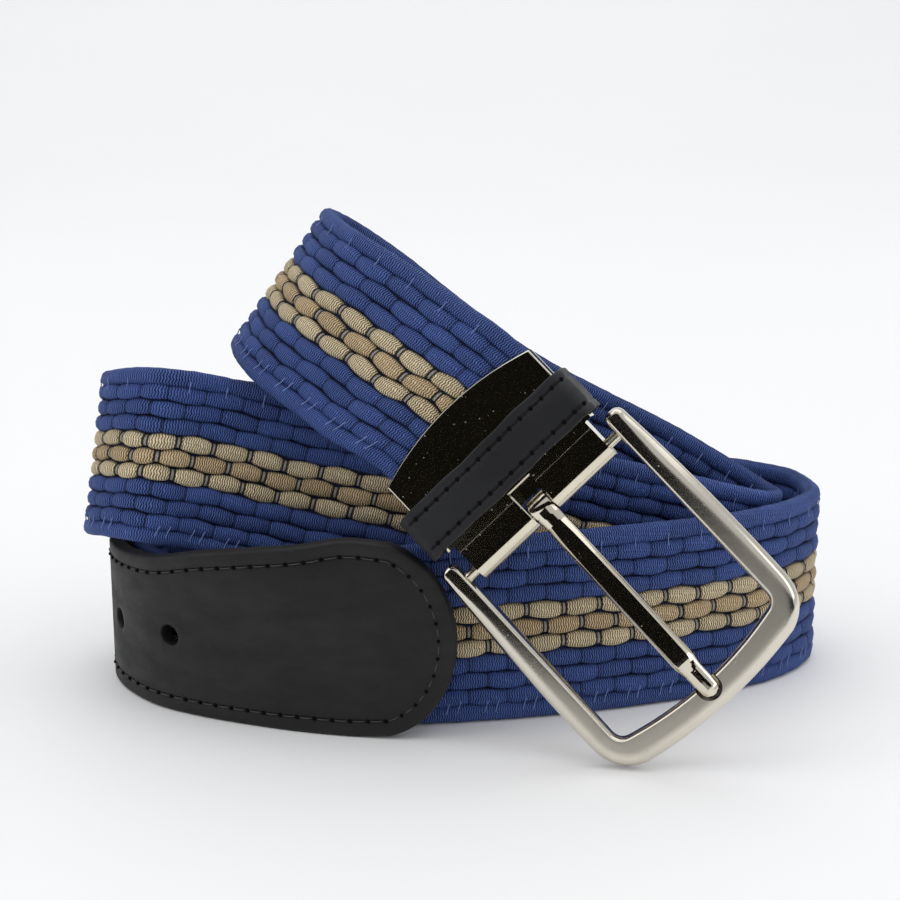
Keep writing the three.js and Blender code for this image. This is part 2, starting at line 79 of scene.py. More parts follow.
# x, y, z of the middle, run of the width direction in x and y for each mm of rise, width
BAND_STATIONS = [
    clamp_station(6.6), clamp_station(15), clamp_station(24.8),
    # over the upper fold, down the back, and up again to the left bend
    (-9.5, -9, 65.2, 0.97, 0.04, 34.6),
    (-15.7, -4, 68.8, 0.89, 0.14, 34.2),
    (-21.6, 0.6, 72, 0.8, 0.2, 34),
    (-27, 6.8, 74.6, 0.74, 0.28, 33.6),
    (-30.6, 15.4, 76.3, 0.72, 0.34, 33.2),
    (-31.6, 25.4, 76.2, 0.72, 0.34, 33),
    (-28.2, 31, 73.2, 0.7, 0.18, 33.6),
    (-19.5, 32, 66.6, 0.68, 0.05, 34.6),
    (6, 26, 47.9, 0.64, 0, 35),
    (34.3, 22.4, 33.4, 0.6, 0, 35),
    (47, 20.8, 26.4, 0.52, 0, 34.5),
    (54.2, 19.8, 22.5, 0.44, 0, 34),
    (57.4, 17.2, 20.8, 0.4, 0, 34),
    (55, 14.4, 20.9, 0.34, 0, 34),
    (43.5, 11.4, 23.9, 0.28, 0, 34.4),
    (23.9, 7, 29.1, 0.28, 0.06, 34.8),
    (-9.2, 4.4, 36.9, 0.28, 0.24, 34.2),
    (-30.2, 5, 41, 0.26, 0.34, 33.4),
    (-44.2, 2.4, 45.2, 0.24, 0.24, 33),
    # the upper left bend and the outer back run down to the floor
    (-54.7, -0.2, 47.6, 0.2, 0.06, 33.2),
    (-61.4, 3.4, 47.2, 0.18, 0, 33),
    (-65.6, 9.4, 45.6, 0.16, 0, 32.6),
    (-66.8, 17, 43.8, 0.16, 0, 32.6),
    (-65.6, 25.5, 42.2, 0.16, 0, 33),
    (-60.4, 33.6, 40, 0.18, 0, 33.6),
    (-50, 39.4, 37.4, 0.2, 0, 34),
    (-30, 42.2, 33.6, 0.2, 0, 34.6),
    (4, 43, 27.6, 0.18, 0, 35),
    (34, 43, 22, 0.14, 0, 35.4),
    (54, 42.2, 19.2, 0.06, 0, 35.6),
    (63.6, 40, 18.1, 0, 0, 36),
    (69.2, 35.2, 17.96, 0, 0, 35.8),
]
# Sections that stand upright on the floor: x, y, width
FLOOR_STATIONS = [
    (71.6, 28.4, 35.4), (71.3, 22.6, 35.4), (68.3, 16.9, 35.4), (62.4, 10.5, 35.5), (50.6, 3.2, 35.5),
    (27.4, -5.6, 35.5), (1.5, -11.3, 35), (-16, -12.6, 33.4), (-30, -10, 31.2), (-41.5, -5.6, 29),
    (-50.4, -0.4, 28.4), (-57, 6.6, 28.2), (-59.9, 14.5, 28.2), (-58.2, 22, 28.4), (-52.4, 27.6, 29.2),
    (-42, 30.2, 31), (-22, 31, 34), (12, 31.2, 35), (36, 31.2, 35), (41.4, 32, 35), (43, 34.2, 35),
    (41.4, 36.4, 35), (36, 37.2, 35), (12.5, 37.2, 34.8), (9.4, 37.2, 34.6), (-7, 37, 33.4),
]
BAND_STATIONS += [(x, y, width / 2, 0, 0, width) for x, y, width in FLOOR_STATIONS]

LEATHER_STATIONS = [
    (7, 37.2, 17.6, 0, 0, 35.2),
    (-10, 36.9, 17.6, 0, 0, 35.2),
    (-20, 36.8, 17.2, 0, 0, 34.4),
    (-36, 36, 16.4, 0, 0, 32.8),
    (-49, 33.2, 15.3, 0, 0, 30.6),
    (-57.6, 28.4, 14.6, 0, 0, 29.2),
    (-62.6, 22, 14.2, 0, 0, 28.4),
    (-64.4, 15, 14.1, 0, 0, 28.2),
    (-62.8, 8.4, 14.3, 0, -0.04, 28.6),
    (-58.8, 1.2, 14.7, 0, -0.08, 29.4),
    (-53.6, -4.6, 15.2, 0, -0.1, 30.4),
    (-45.8, -9.4, 16.3, 0, -0.1, 32.6),
    (-36.2, -13.3, 17.1, 0, -0.08, 34.2),
    (-26.8, -15.9, 17.7, 0, -0.04, 35.4),
    (-18.6, -17.2, 18.4, 0, 0, 36.8),
    (-10.6, -18.5, 18.4, 0, 0, 35.9),
]
LEATHER_END = np.array([1.2, -20, 18.1])


SAMPLES_PER_ROW = 48
BOX_CORNERS = np.array([(x, y, z) for x in (-1, 1) for y in (-1, 1) for z in (-1, 1)])
BOX_FACES = [(0, 1, 3, 2), (4, 6, 7, 5), (0, 4, 5, 1), (2, 3, 7, 6), (0, 2, 6, 4), (1, 5, 7, 3)]


def unit(vectors):
    return vectors / np.linalg.norm(vectors, axis=-1, keepdims=True)


def read_off(places, lengths, values):
    """The three columns of values, read off at places along the lengths."""
    return np.column_stack([np.interp(places, lengths, values[:, axis]) for axis in range(3)])


def lengths_along(line):
    steps = np.linalg.norm(np.diff(line, axis=0), axis=1)
    return np.concatenate([[0], np.cumsum(steps)])


def full_turn(count):
    """Even angles round a circle."""
    return np.linspace(0, 2 * math.pi, count, endpoint=False)


def arc(x, y, radius, start, end, count):
    """Points on a circle from one angle to another, in degrees."""
    return [(x + radius * math.cos(turn), y + radius * math.sin(turn))
            for turn in np.radians(np.linspace(start, end, count))]


def spline(table, rows, centripetal):
    """Points of a Catmull-Rom curve at row numbers of the table."""
    first = 2 * table[0] - table[1]
    last = 2 * table[-1] - table[-2]
    padded = np.vstack([first, table, last])
    index = np.minimum(rows.astype(int), len(table) - 2)
    share = (rows - index)[:, None]
    p0, p1, p2, p3 = (padded[index + step] for step in range(4))
    if centripetal:
        d0, d1, d2 = (np.sqrt(np.linalg.norm(b - a, axis=1))[:, None]
                      for a, b in ((p0, p1), (p1, p2), (p2, p3)))
        start = ((p1 - p0) / d0 - (p2 - p0) / (d0 + d1) + (p2 - p1) / d1) * d1
        end = ((p2 - p1) / d1 - (p3 - p1) / (d1 + d2) + (p3 - p2) / d2) * d1
    else:
        start = 0.5 * (p2 - p0)
        end = 0.5 * (p3 - p1)
    square = -3 * p1 + 3 * p2 - 2 * start - end
    cube = 2 * p1 - 2 * p2 + start + end
    return p1 + start * share + square * share**2 + cube * share**3


class Path:
    """A strip's run: its middle, directions and width at lengths along it."""

    def __init__(self, stations):
        table = np.array(stations, dtype=float)
        count = len(table) - 1
        rows = np.linspace(0, count, count * SAMPLES_PER_ROW + 1)
        self.rows = rows
        self.middle = spline(table[:, :3], rows, True)
        shape = spline(table[:, 3:], rows, False)
        self.width = shape[:, 2]
        along = unit(np.gradient(self.middle, axis=0))
        self.across = unit(np.column_stack([shape[:, :2], np.ones(len(rows))]))
        self.through = unit(np.cross(self.across, along))
        self.length = lengths_along(self.middle)

    def at(self, lengths):
        middle, across, through = (read_off(lengths, self.length, values)
                                   for values in (self.middle, self.across, self.through))
        return middle, unit(across), unit(through), np.interp(lengths, self.length, self.width)

    def length_at_row(self, row):
        return float(np.interp(row, self.rows, self.length))


def to_model(points):
    return (np.asarray(points) - COIL_CENTRE) * MM


def buckle_point(x, y, z, swung=False):
    """Coil-plan millimetres of points that lie x along the hinge, y along the strap and z outwards."""
    strap, out = (SWUNG_STRAP, SWUNG_OUT) if swung else (STRAP, OUT)
    x, y, z = (np.asarray(value, dtype=float)[..., None] for value in (x, y, z))
    return HINGE_POINT + x * HINGE + y * strap + z * out


def signed_volume(mesh):
    """Positive where the faces of a closed mesh look outwards."""
    mesh.calc_loop_triangles()
    corners = np.empty(len(mesh.loop_triangles) * 3, dtype=np.int32)
    mesh.loop_triangles.foreach_get("vertices", corners)
    places = np.empty(len(mesh.vertices) * 3, dtype=np.float32)
    mesh.vertices.foreach_get("co", places)
    a, b, c = places.reshape(-1, 3)[corners.reshape(-1, 3)].transpose(1, 0, 2)
    return float(np.einsum("ij,ij->i", a, np.cross(b, c)).sum())


def make_object(name, points, faces, smooth=True, uv=None, tint=None):
    """A mesh object from coil-plan millimetres; uv and tint hold one value for each point."""
    mesh = bpy.data.meshes.new(name)
    mesh.from_pydata(to_model(points).tolist(), [], [tuple(int(i) for i in face) for face in faces])
    mesh.validate()
    if uv is not None or tint is not None:
        loop_points = np.empty(len(mesh.loops), dtype=np.int32)
        mesh.loops.foreach_get("vertex_index", loop_points)
    if uv is not None:
        layer = mesh.uv_layers.new(name="run")
        layer.data.foreach_set("uv", np.asarray(uv, dtype=np.float32)[loop_points].ravel())
    if tint is not None:
        layer = mesh.color_attributes.new("tint", "FLOAT_COLOR", "POINT")
        values = np.column_stack([tint, np.ones(len(points))]).astype(np.float32)
        layer.data.foreach_set("color", values.ravel())
    if smooth:
        mesh.polygons.foreach_set("use_smooth", [True] * len(mesh.polygons))
    mesh.update()
    if signed_volume(mesh) < 0:
        mesh.flip_normals()
    thing = bpy.data.objects.new(name, mesh)
    bpy.context.scene.collection.objects.link(thing)
    return thing


def ring_faces(rings, points, start=0, joined=False):
    """Quads between rings of points, with end caps or with the last ring joined to the first."""
    ring = np.arange(rings - 1)[:, None] * points + start
    index = np.arange(points)[None, :]
    after = (index + 1) % points
    quads = np.stack([ring + index, ring + after, ring + points + after, ring + points + index], axis=-1)
    faces = [tuple(quad) for quad in quads.reshape(-1, 4)]
    end = start + (rings - 1) * points
    if joined:
        return faces + [(end + i, end + (i + 1) % points, start + (i + 1) % points, start + i)
                        for i in range(points)]
    return faces + [tuple(range(start + points - 1, start - 1, -1)), tuple(range(end, end + points))]


def apply_cut(thing, cutters):
    """Cuts meshes out of a mesh and keeps the result as its own mesh."""
    for cutter in cutters:
        modifier = thing.modifiers.new("cut", "BOOLEAN")
        modifier.operation = "DIFFERENCE"
        modifier.solver = "EXACT"
        modifier.object = cutter
    graph = bpy.context.evaluated_depsgraph_get()
    graph.update()
    mesh = bpy.data.meshes.new_from_object(thing.evaluated_get(graph))
    thing.modifiers.clear()
    old = thing.data
    thing.data = mesh
    bpy.data.meshes.remove(old)
    for cutter in cutters:
        mesh = cutter.data
        bpy.data.objects.remove(cutter)
        bpy.data.meshes.remove(mesh)


def dress(thing, material, body, node):
    """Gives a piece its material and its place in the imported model."""
    thing.data.materials.append(material)
    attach(thing, body)
    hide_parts(node)


def sharpen(thing, angle):
    """Smooth faces, with a crisp edge where two meet at more than the angle."""
    thing.data.polygons.foreach_set("use_smooth", [True] * len(thing.data.polygons))
    thing.data.set_sharp_from_angle(angle=math.radians(angle))


class Threads:
    """Many short threads gathered into one mesh."""

    def __init__(self, sides):
        self.points = []
        self.faces = []
        self.sides = sides

    def add(self, line, radius, up):
        """A thread along a line of points; up is a direction across it."""
        along = unit(np.gradient(line, axis=0))
        side = unit(np.cross(along, up))
        top = np.cross(side, along)
        radii = np.full(len(line), radius)
        radii[[0, -1]] *= 0.55
        turn = full_turn(self.sides)[:, None]
        ring = side[:, None] * np.cos(turn) + top[:, None] * np.sin(turn)
        start = sum(len(block) for block in self.points)
        self.points.append((line[:, None] + ring * radii[:, None, None]).reshape(-1, 3))
        self.faces += ring_faces(len(line), self.sides, start)

    def make(self, name):
        return make_object(name, np.vstack(self.points), self.faces)


class Value:
    """An output in a material's node tree; sums and products of values become nodes of their own."""

    def __init__(self, shader, socket):
        self.shader = shader
        self.socket = socket

    def __add__(self, other):
        return self.shader.math("ADD", self, other)

    def __sub__(self, other):
        return self.shader.math("SUBTRACT", self, other)

    def __rsub__(self, other):
        return self.shader.math("SUBTRACT", other, self)

    def __mul__(self, other):
        return self.shader.math("MULTIPLY", self, other)


class Shader:
    """A procedural material, put together node by node."""

    def __init__(self, name):
        self.material = bpy.data.materials.new(name)
        self.material.use_nodes = True
        self.tree = self.material.node_tree
        self.surface = self.tree.nodes["Principled BSDF"]

    def put(self, socket, value):
        if isinstance(value, Value):
            self.tree.links.new(value.socket, socket)
        else:
            socket.default_value = value

    def node(self, kind, output, inputs, **settings):
        """Adds a node with its settings and inputs, and gives one output."""
        made = self.tree.nodes.new(kind)
        for key, value in settings.items():
            setattr(made, key, value)
        for key, value in inputs.items():
            self.put(made.inputs[key], value)
        return Value(self, made.outputs[output])

    def math(self, operation, *values):
        return self.node("ShaderNodeMath", 0, dict(enumerate(values)), operation=operation)

    def vector(self, operation, *values):
        return self.node("ShaderNodeVectorMath", 0, dict(enumerate(values)), operation=operation)

    def wave(self, value, period):
        """A sine between 0 and 1."""
        return self.math("MULTIPLY_ADD", self.math("SINE", value * (2 * math.pi / period)), 0.5, 0.5)

    def mix(self, factor, first, second, blend="MIX"):
        inputs = {"Factor": factor, "A": first, "B": second}
        return self.node("ShaderNodeMix", "Result", inputs, data_type="RGBA", blend_type=blend)

    def spread(self, value, low, high, start=0.0, end=1.0):
        inputs = {"Value": value, "From Min": low, "From Max": high, "To Min": start, "To Max": end}
        return self.node("ShaderNodeMapRange", "Result", inputs, interpolation_type="SMOOTHSTEP")

    def noise(self, vector, scale, detail=2.0, roughness=0.5):
        inputs = {"Vector": vector, "Scale": scale, "Detail": detail, "Roughness": roughness}
        return self.node("ShaderNodeTexNoise", "Fac", inputs)

    def cells(self, vector, scale):
        return self.node("ShaderNodeTexVoronoi", "Distance", {"Vector": vector, "Scale": scale})

    def bump(self, height, strength, distance_mm, below=None):
        inputs = {"Height": height, "Strength": strength, "Distance": distance_mm * MM}
        if below is not None:
            inputs["Normal"] = below
        return self.node("ShaderNodeBump", "Normal", inputs)

    def run(self):
        """The map along and round a cord, or in a bar's plan, in millimetres."""
        return self.node("ShaderNodeUVMap", "UV", {}, uv_map="run")

    def tint(self, part):
        colour = self.node("ShaderNodeVertexColor", "Color", {}, layer_name="tint")
        return self.node("ShaderNodeSeparateColor", part, {0: colour})

    def place(self):
        return self.node("ShaderNodeTexCoord", "Object", {})

    def fix(self, **constants):
        """Constants set on the surface's inputs."""
        for key, value in constants.items():
            self.surface.inputs[key.replace("_", " ")].default_value = value

    def set(self, **inputs):
        for key, value in inputs.items():
            self.put(self.surface.inputs[key.replace("_", " ")], value)
        return self.material


STRAND_PERIOD = 0.45
PLY_PERIOD = 0.42


def paint(red, green, blue):
    """Screen colour 0 to 255 as a linear colour."""
    def linear(level):
        share = level / 255
        return share / 12.92 if share <= 0.04045 else ((share + 0.055) / 1.055) ** 2.4
    return (linear(red), linear(green), linear(blue), 1.0)


def cord_material(name, light, dark, neck_and_row_shade_dark, neck_light=None):
    """Threads wound round a cord, with a painted highlight on the strands' crests, painted shade in their
    grooves and painted shade beside the rows. tint holds the share of NECK_REACH from the bead's neck, a
    number for each bead, and a number for each row; the map runs in mm along and round the cord."""
    shader = Shader(name)
    run = shader.run()
    u, v = (shader.node("ShaderNodeSeparateXYZ", axis, {0: run}) for axis in "XY")
    neck = shader.tint("Red") * NECK_REACH
    bead, row = shader.tint("Green"), shader.tint("Blue")
    wobble = shader.noise(run, 1.3)
    zigzag = shader.math("PINGPONG", v + wobble * 0.5, 0.5)
    strand = shader.wave(u + zigzag * 0.4 + wobble * 0.25, STRAND_PERIOD)
    height = strand * 0.8 + shader.wave(v + u, PLY_PERIOD) * 0.2
    # Painted highlight and painted shade: the colour follows strand height, so crests are lighter and grooves
    # darker, plus random thread and bead tone
    level = height * 0.85 + shader.noise(run, 4.5, 3.0, 0.65) * 0.3 + (bead - 0.5) * 0.14
    colour = shader.mix(shader.spread(level, 0.16, 0.86), dark, light)
    brown = shader.mix(1.0, colour, (0.86, 0.77, 0.69, 1.0), "MULTIPLY")
    colour = shader.mix(shader.spread(row, 0.0, 1.0), colour, brown)
    # Painted shade: the threads pressed against the next row are darkened, as little light reaches them
    turned = shader.math("ABSOLUTE", shader.math("COSINE", v * (2 * math.pi / CORD_ROUND)))
    painted_row_shade = shader.spread(turned, 0.7, 1.0, 0.0, 0.8) * shader.spread(row, -1.0, 0.0)
    colour = shader.mix(painted_row_shade, colour, neck_and_row_shade_dark)
    if neck_light:
        wrapped = shader.mix(shader.spread(neck, 0.17, 0.25), neck_light, neck_and_row_shade_dark)
        colour = shader.mix(shader.spread(neck, 0.52, 0.68), wrapped, colour)
    else:
        colour = shader.mix(shader.spread(neck, 0.0, 0.3, 0.35, 1.0), neck_and_row_shade_dark, colour)
    normal = shader.bump(shader.noise(shader.place(), 900.0), 0.2, 0.25, shader.bump(height, 1.0, 0.3))
    shader.fix(Specular_IOR_Level=0.35, Sheen_Weight=0.18, Sheen_Roughness=0.45, Sheen_Tint=light)
    return shader.set(Base_Color=colour, Roughness=shader.spread(height, 0.0, 1.0, 0.85, 0.58), Normal=normal)


def thread_material(name, light, dark, specular=0.5):
    """Twisted sewing thread."""
    shader = Shader(name)
    twist = shader.noise(shader.vector("MULTIPLY", shader.place(), (1.0, 1.0, 2.4)), 2600.0)
    shader.fix(Specular_IOR_Level=specular)
    colour = shader.mix(twist, dark, light)
    return shader.set(Base_Color=colour, Roughness=0.6, Normal=shader.bump(twist, 0.5, 0.08))


def leather_material(name, colour, dark, shine):
    """Matt leather: fine pores, soft creases and slightly worn high spots."""
    shader = Shader(name)
    place = shader.place()
    pores = shader.cells(shader.vector("ADD", place, (0.013, 0.02, 0.007)), 1500.0)
    fine = shader.noise(place, 1900.0, 3.0, 0.6) * 0.6 + pores * 0.4
    crease = shader.noise(shader.vector("MULTIPLY", place, (1.0, 1.0, 2.2)), 120.0, 4.0, 0.6)
    shade = shader.mix(shader.spread(shader.noise(place, 45.0, 3.0), 0.3, 0.72), dark, colour)
    shade = shader.mix(shader.spread(fine, 0.2, 0.75, 0.3, 0.0), shade, dark)
    normal = shader.bump(crease, 0.12, 0.8, shader.bump(fine, 0.22, 0.12))
    rough = shader.spread(crease, 0.25, 0.75, shine + 0.12, shine - 0.06)
    shader.fix(Specular_IOR_Level=0.4)
    return shader.set(Base_Color=shade, Roughness=rough, Normal=normal)


def metal_material(name, colour, roughness, dust, brushed=0.0):
    """Plated metal: fine scratches, dust specks, and brushing along the bars where it is satin."""
    shader = Shader(name)
    place = shader.place()
    scratches = shader.noise(shader.vector("MULTIPLY", place, (1.0, 1.0, 9.0)), 520.0, 3.0, 0.6)
    cloud = shader.noise(place, 160.0, 3.0)
    rare = shader.noise(place, 420.0, 1.0)
    dot = shader.spread(shader.cells(place, 1050.0), 0.1, 0.17, 1.0, 0.0)
    spot = dot * shader.spread(rare, 0.6 - dust, 0.68 - dust)
    darker = tuple(0.72 * level for level in colour[:3]) + (1.0,)
    tone = shader.mix(shader.spread(cloud, 0.3, 0.75, 0.0, 0.22), colour, darker)
    tone = shader.mix(spot, tone, paint(212, 208, 196))
    rough = scratches * 0.08 + roughness + spot * 0.4
    normal = shader.bump(cloud, 0.004, 0.5)
    if brushed:
        run = shader.run()
        y = shader.node("ShaderNodeSeparateXYZ", "Y", {0: run})
        side, far = (shader.noise(shader.vector("MULTIPLY", run, stretch), 1.0, 2.0, 0.6)
                     for stretch in ((0.3, 5.0, 1.0), (5.0, 0.3, 1.0)))
        at_far = shader.spread(y, -36.0, -41.0)
        lines = side * (1.0 - at_far) + far * at_far
        flat = shader.tint("Red") * shader.spread(y, -2.0, -36.0, 0.08, 1.0)
        rough = rough + flat * brushed + (lines - 0.5) * (flat * 0.1)
        normal = shader.bump(lines, flat * 0.1, 0.05, normal)
    return shader.set(Base_Color=tone, Metallic=1.0, Roughness=rough, Normal=normal)


BLUE_CORD = cord_material("blue_cord", paint(78, 106, 182), paint(4, 7, 28), paint(3, 5, 16))
BEIGE_CORD = cord_material("beige_cord", paint(252, 235, 196), paint(98, 74, 46),
                           paint(24, 19, 20), paint(170, 164, 158))
# The ground weave is painted darker than the rows' blue, as painted shade between the rows
GROUND_CORD_SHADED = cord_material("ground_cord_painted_shade", paint(24, 34, 74), paint(8, 12, 34), paint(6, 9, 26))
STITCH_BLUE = thread_material("stitch_blue", paint(140, 156, 208), paint(78, 96, 160))
# Black thread with a twisted pattern; its light grey-brown parts are painted glints
STITCH_BLACK_GLINT = thread_material("stitch_black_painted_glint", paint(84, 81, 77), paint(18, 17, 17))
STITCH_DARK = thread_material("stitch_dark", paint(44, 43, 44), paint(12, 12, 12), 0.1)
# Near-black blobs as painted shade in the stitch holes
STITCH_HOLE_SHADE = thread_material("stitch_hole_painted_shade", paint(6, 5, 5), paint(1, 1, 1), 0.1)
LEATHER = leather_material("leather", paint(27, 27, 28), paint(15, 15, 16), 0.6)
KEEPER_LEATHER = leather_material("keeper_leather", paint(29, 30, 35), paint(14, 14, 17), 0.56)
DARK_CHROME = metal_material("dark_chrome", paint(226, 219, 200), 0.05, 0.06)
NICKEL = metal_material("nickel", paint(222, 216, 202), 0.09, 0.0, brushed=0.24)
PIN_NICKEL = metal_material("pin_nickel", paint(228, 221, 203), 0.16, 0.0)
POLISHED = metal_material("polished_nickel", paint(226, 219, 202), 0.06, 0.04)

band = Path(BAND_STATIONS)
GRIP_END = band.length_at_row(2) + 1.5
POCKET_START = band.length_at_row(len(BAND_STATIONS) - 2) - 1.0


def squeeze(lengths):
    """Share of the free thickness: less inside the clamp and inside the leather's pocket."""
    held = GRIPPED_HALF / BAND_HALF
    into = np.clip((lengths - GRIP_END) / 2.0, 0, 1)
    out = np.clip((POCKET_START - lengths) / 2.0, 0, 1)
    return held + (1 - held) * np.minimum(into, out)


FIRST_NECK = -1.5
# Turn for each mm at which beads start to shorten, its range up to the shortest bead, and mm lost there
BEND_START = 0.04
BEND_RANGE = 0.06
SHORTER_IN_BENDS = 2.2


def neck_places():
    """Lengths of the necks of one row: a bead apart with a slow drift, and closer in the bends."""
    even = np.arange(0, band.length[-1], 1.0)
    middle = band.at(even)[0]
    along = unit(np.gradient(middle, axis=0))
    bend = np.convolve(np.linalg.norm(np.gradient(along, axis=0), axis=1), np.ones(9) / 9, "same")
    places = [FIRST_NECK]
    while places[-1] < band.length[-1] + BEAD_LENGTH:
        count = len(places)
        drift = 0.25 * math.sin(count * 0.37) + 0.2 * math.sin(count * 1.13 + 1)
        sharpness = (np.interp(places[-1] + 3, even, bend) - BEND_START) / BEND_RANGE
        places.append(places[-1] + BEAD_LENGTH + drift - SHORTER_IN_BENDS * min(1.0, max(0.0, sharpness)))
    return np.array(places)


NECKS = neck_places()
HALF_NECKS = (NECKS[1:] + NECKS[:-1]) / 2
FROM_NECK = (0, 0.28, 0.5, 0.62, 0.85, 1.25, 1.9, 2.7)
AROUND = 12


def bead_lengths(necks):
    """Ring places along a row: the same pattern in each bead."""
    places = []
    for low, high in zip(necks[:-1], necks[1:]):
        scale = (high - low) / BEAD_LENGTH
        near = low + np.array(FROM_NECK) * scale
        far = high - np.array(FROM_NECK[:0:-1]) * scale
        places.append(np.concatenate([near, [(low + high) / 2], far]))
    places = np.concatenate(places)
    return places[(places > 0.05) & (places < band.length[-1] - 0.05)]


def barrel(from_neck, half_bead, neck_half):
    """0 at the neck, 1 at the middle of the bead."""
    share = np.clip((from_neck - neck_half) / (half_bead - neck_half), 0, 1)
    return (1 - (1 - share) ** 2.4) ** 0.7


def cord(rib, neck_half, beaded):
    """One row of the band: a cord of beads. Rib 0 is at the lower edge."""
    necks = NECKS if rib % 2 else HALF_NECKS
    lengths = bead_lengths(necks) if beaded else np.arange(0.05, band.length[-1], 0.75)
    middle, across, through, width = band.at(lengths)
    pitch = width / RIBS
    bead = np.clip(np.searchsorted(necks, lengths, side="right") - 1, 0, len(necks) - 2)
    from_neck = np.minimum(lengths - necks[bead], necks[bead + 1] - lengths)
    half_bead = (necks[bead + 1] - necks[bead]) / 2
    chosen = RANDOM.rand(len(necks) + 1)[bead]
    if beaded:
        full = barrel(from_neck, half_bead, neck_half)
        slide = 0.05 * pitch * np.sin(lengths * 0.45 + rib)
        neck_value = np.minimum(from_neck, NECK_REACH) / NECK_REACH
        row_number = 1.0 if rib == RIBS // 2 else 0.0
    else:
        uneven = 0.1 * np.sin(lengths * 0.9) * np.sin(lengths * 0.31) + 0.06 * np.sin(lengths * 2.3)
        full = 0.82 + uneven
        slide = 0.06 * pitch * np.sign(RIBS / 2 - rib)
        neck_value = np.full(len(lengths), 0.9)
        row_number = -1.0
    plump = 1 + 0.05 * (chosen - 0.5)
    waist = 0.36 if neck_half > 0.3 else 0.45
    half_across = pitch * (waist + (0.555 - waist) * full) * plump
    half_through = BAND_HALF * (0.68 + 0.32 * full) * plump * squeeze(lengths)
    offset = (rib + 0.5) * pitch - width / 2 + slide
    turn = full_turn(AROUND)
    flat, tall = (np.sign(wave) * np.abs(wave) ** 0.85 for wave in (np.cos(turn), np.sin(turn)))
    sideways = offset[:, None] + half_across[:, None] * flat
    points = (middle[:, None] + across[:, None] * sideways[..., None]
              + through[:, None] * (half_through[:, None] * tall)[..., None])
    round_length = np.linspace(0, CORD_ROUND, AROUND, endpoint=False)
    uv = np.stack(np.broadcast_arrays(lengths[:, None] + rib * 1.7, round_length[None]), axis=-1)
    tint = np.stack([neck_value, chosen, np.full(len(lengths), row_number)], axis=-1)
    tint = np.repeat(tint[:, None], AROUND, axis=1)
    return points.reshape(-1, 3), uv.reshape(-1, 2), tint.reshape(-1, 3), len(lengths)


def make_cords(name, ribs, neck_half, material):
    """Several rows as one piece."""
    rows, faces, total = [], [], 0
    for rib in ribs:
        *row, rings = cord(rib, neck_half, rib not in (0, RIBS - 1))
        rows.append(row)
        faces += ring_faces(rings, AROUND, total)
        total += rings * AROUND
    points, uv, tint = (np.vstack(blocks) for blocks in zip(*rows))
    thing = make_object(name, points, faces, uv=uv, tint=tint)
    dress(thing, material, "belt", "band")


make_cords("band_rows_low", range(0, 4), 0.1, BLUE_CORD)
make_cords("band_rows_stripe", range(4, 7), 0.5, BEIGE_CORD)
make_cords("band_rows_high", range(7, 11), 0.1, BLUE_CORD)


def make_core():
    """The ground weave behind the rows, seen only between them; its colour is painted dark as painted shade
    in the depth between the rows.
    """
    lengths = np.arange(0.1, band.length[-1], 1.6)
    middle, across, through, width = band.at(lengths)
    half = (width / 2 - 0.9)[:, None, None]
    thick = (0.5 * squeeze(lengths))[:, None, None]
    corners = ((-1, -1), (1, -1), (1, 1), (-1, 1))
    points = np.stack([middle[:, None] + across[:, None] * half * a + through[:, None] * thick * t
                       for a, t in corners], axis=1).reshape(-1, 3)
    uv = np.repeat(np.column_stack([lengths, lengths * 0]), 4, axis=0)
    uv[:, 1] = np.tile([0, 30, 31, 61], len(lengths))
    tint = np.tile([0.9, 0.4, 0.0], (len(points), 1))
    thing = make_object("band_ground", points, ring_faces(len(lengths), 4), smooth=False, uv=uv, tint=tint)
    dress(thing, GROUND_CORD_SHADED, "belt", "band")


make_core()

# Cosine of the turn over 3 mm, above which an edge stitch is made
STRAIGHT_ENOUGH = 0.97


def make_edge_stitches():
    """Light threads that tie the edge cords on: upright single ones above, slanted pairs below."""
    threads = Threads(4)
    steps = np.array([-0.62, -0.3, 0.0, 0.3, 0.62])
    heights = np.array([1.22, 1.62, 1.42, 1.66, 1.3])
    for face in (1, -1):
        for low, high in zip(NECKS[:-1], NECKS[1:]):
            upper = (low + high) / 2
            lower = (low + 1.9, low + 3.9)
            for length, side, slant in [(upper, 1, 0.1)] + [(place, -1, 0.9) for place in lower]:
                if not GRIP_END + 2 < length < POCKET_START - 2:
                    continue
                before, after = unit(np.diff(band.at(length + np.array([-3, 0, 3]))[0], axis=0))
                if before @ after < STRAIGHT_ENOUGH:
                    continue
                middle, across, through, width = band.at(length + steps * slant * side)
                offset = side * (width / 2 - width / RIBS * (1 - steps * side))
                height = face * heights * squeeze(length)
                path = middle + across * offset[:, None] + through * height[:, None]
                threads.add(path, 0.11, through[2] * face)
    thing = threads.make("band_edge_stitches")
    dress(thing, STITCH_BLUE, "belt", "band")


make_edge_stitches()

# Leather tip
leather = Path(LEATHER_STATIONS)
LEATHER_HALF = 1.5
POCKET_HALF = 2.8
POCKET_END = leather.length_at_row(1)
POCKET_TAPER = 9.9
POCKET_MIDDLE = (7, 37.1, 17.6)
POCKET_SIZE = (14.8, 1.6, 30)
TIP_START = 0.25
STITCH_INSET = 3.0
SEAM_GROOVE = 0.28
HOLES = 5
FIRST_HOLE_FROM_TIP = 54.3
HOLE_PITCH = 16.5
# Height and radius of a punched hole's wall
HOLE_PROFILE = [(-4, 2.6), (-1.62, 2.42), (-1.42, 2.1), (-1.1, 2.0),
                (1.1, 2.0), (1.42, 2.1), (1.62, 2.42), (4, 2.6)]


def leather_thickness(lengths):
    """Half the thickness: more where the pocket grips the band, less after a taper."""
    taper = (lengths - POCKET_END) / POCKET_TAPER
    return np.clip(POCKET_HALF - taper * (POCKET_HALF - LEATHER_HALF), LEATHER_HALF, POCKET_HALF)


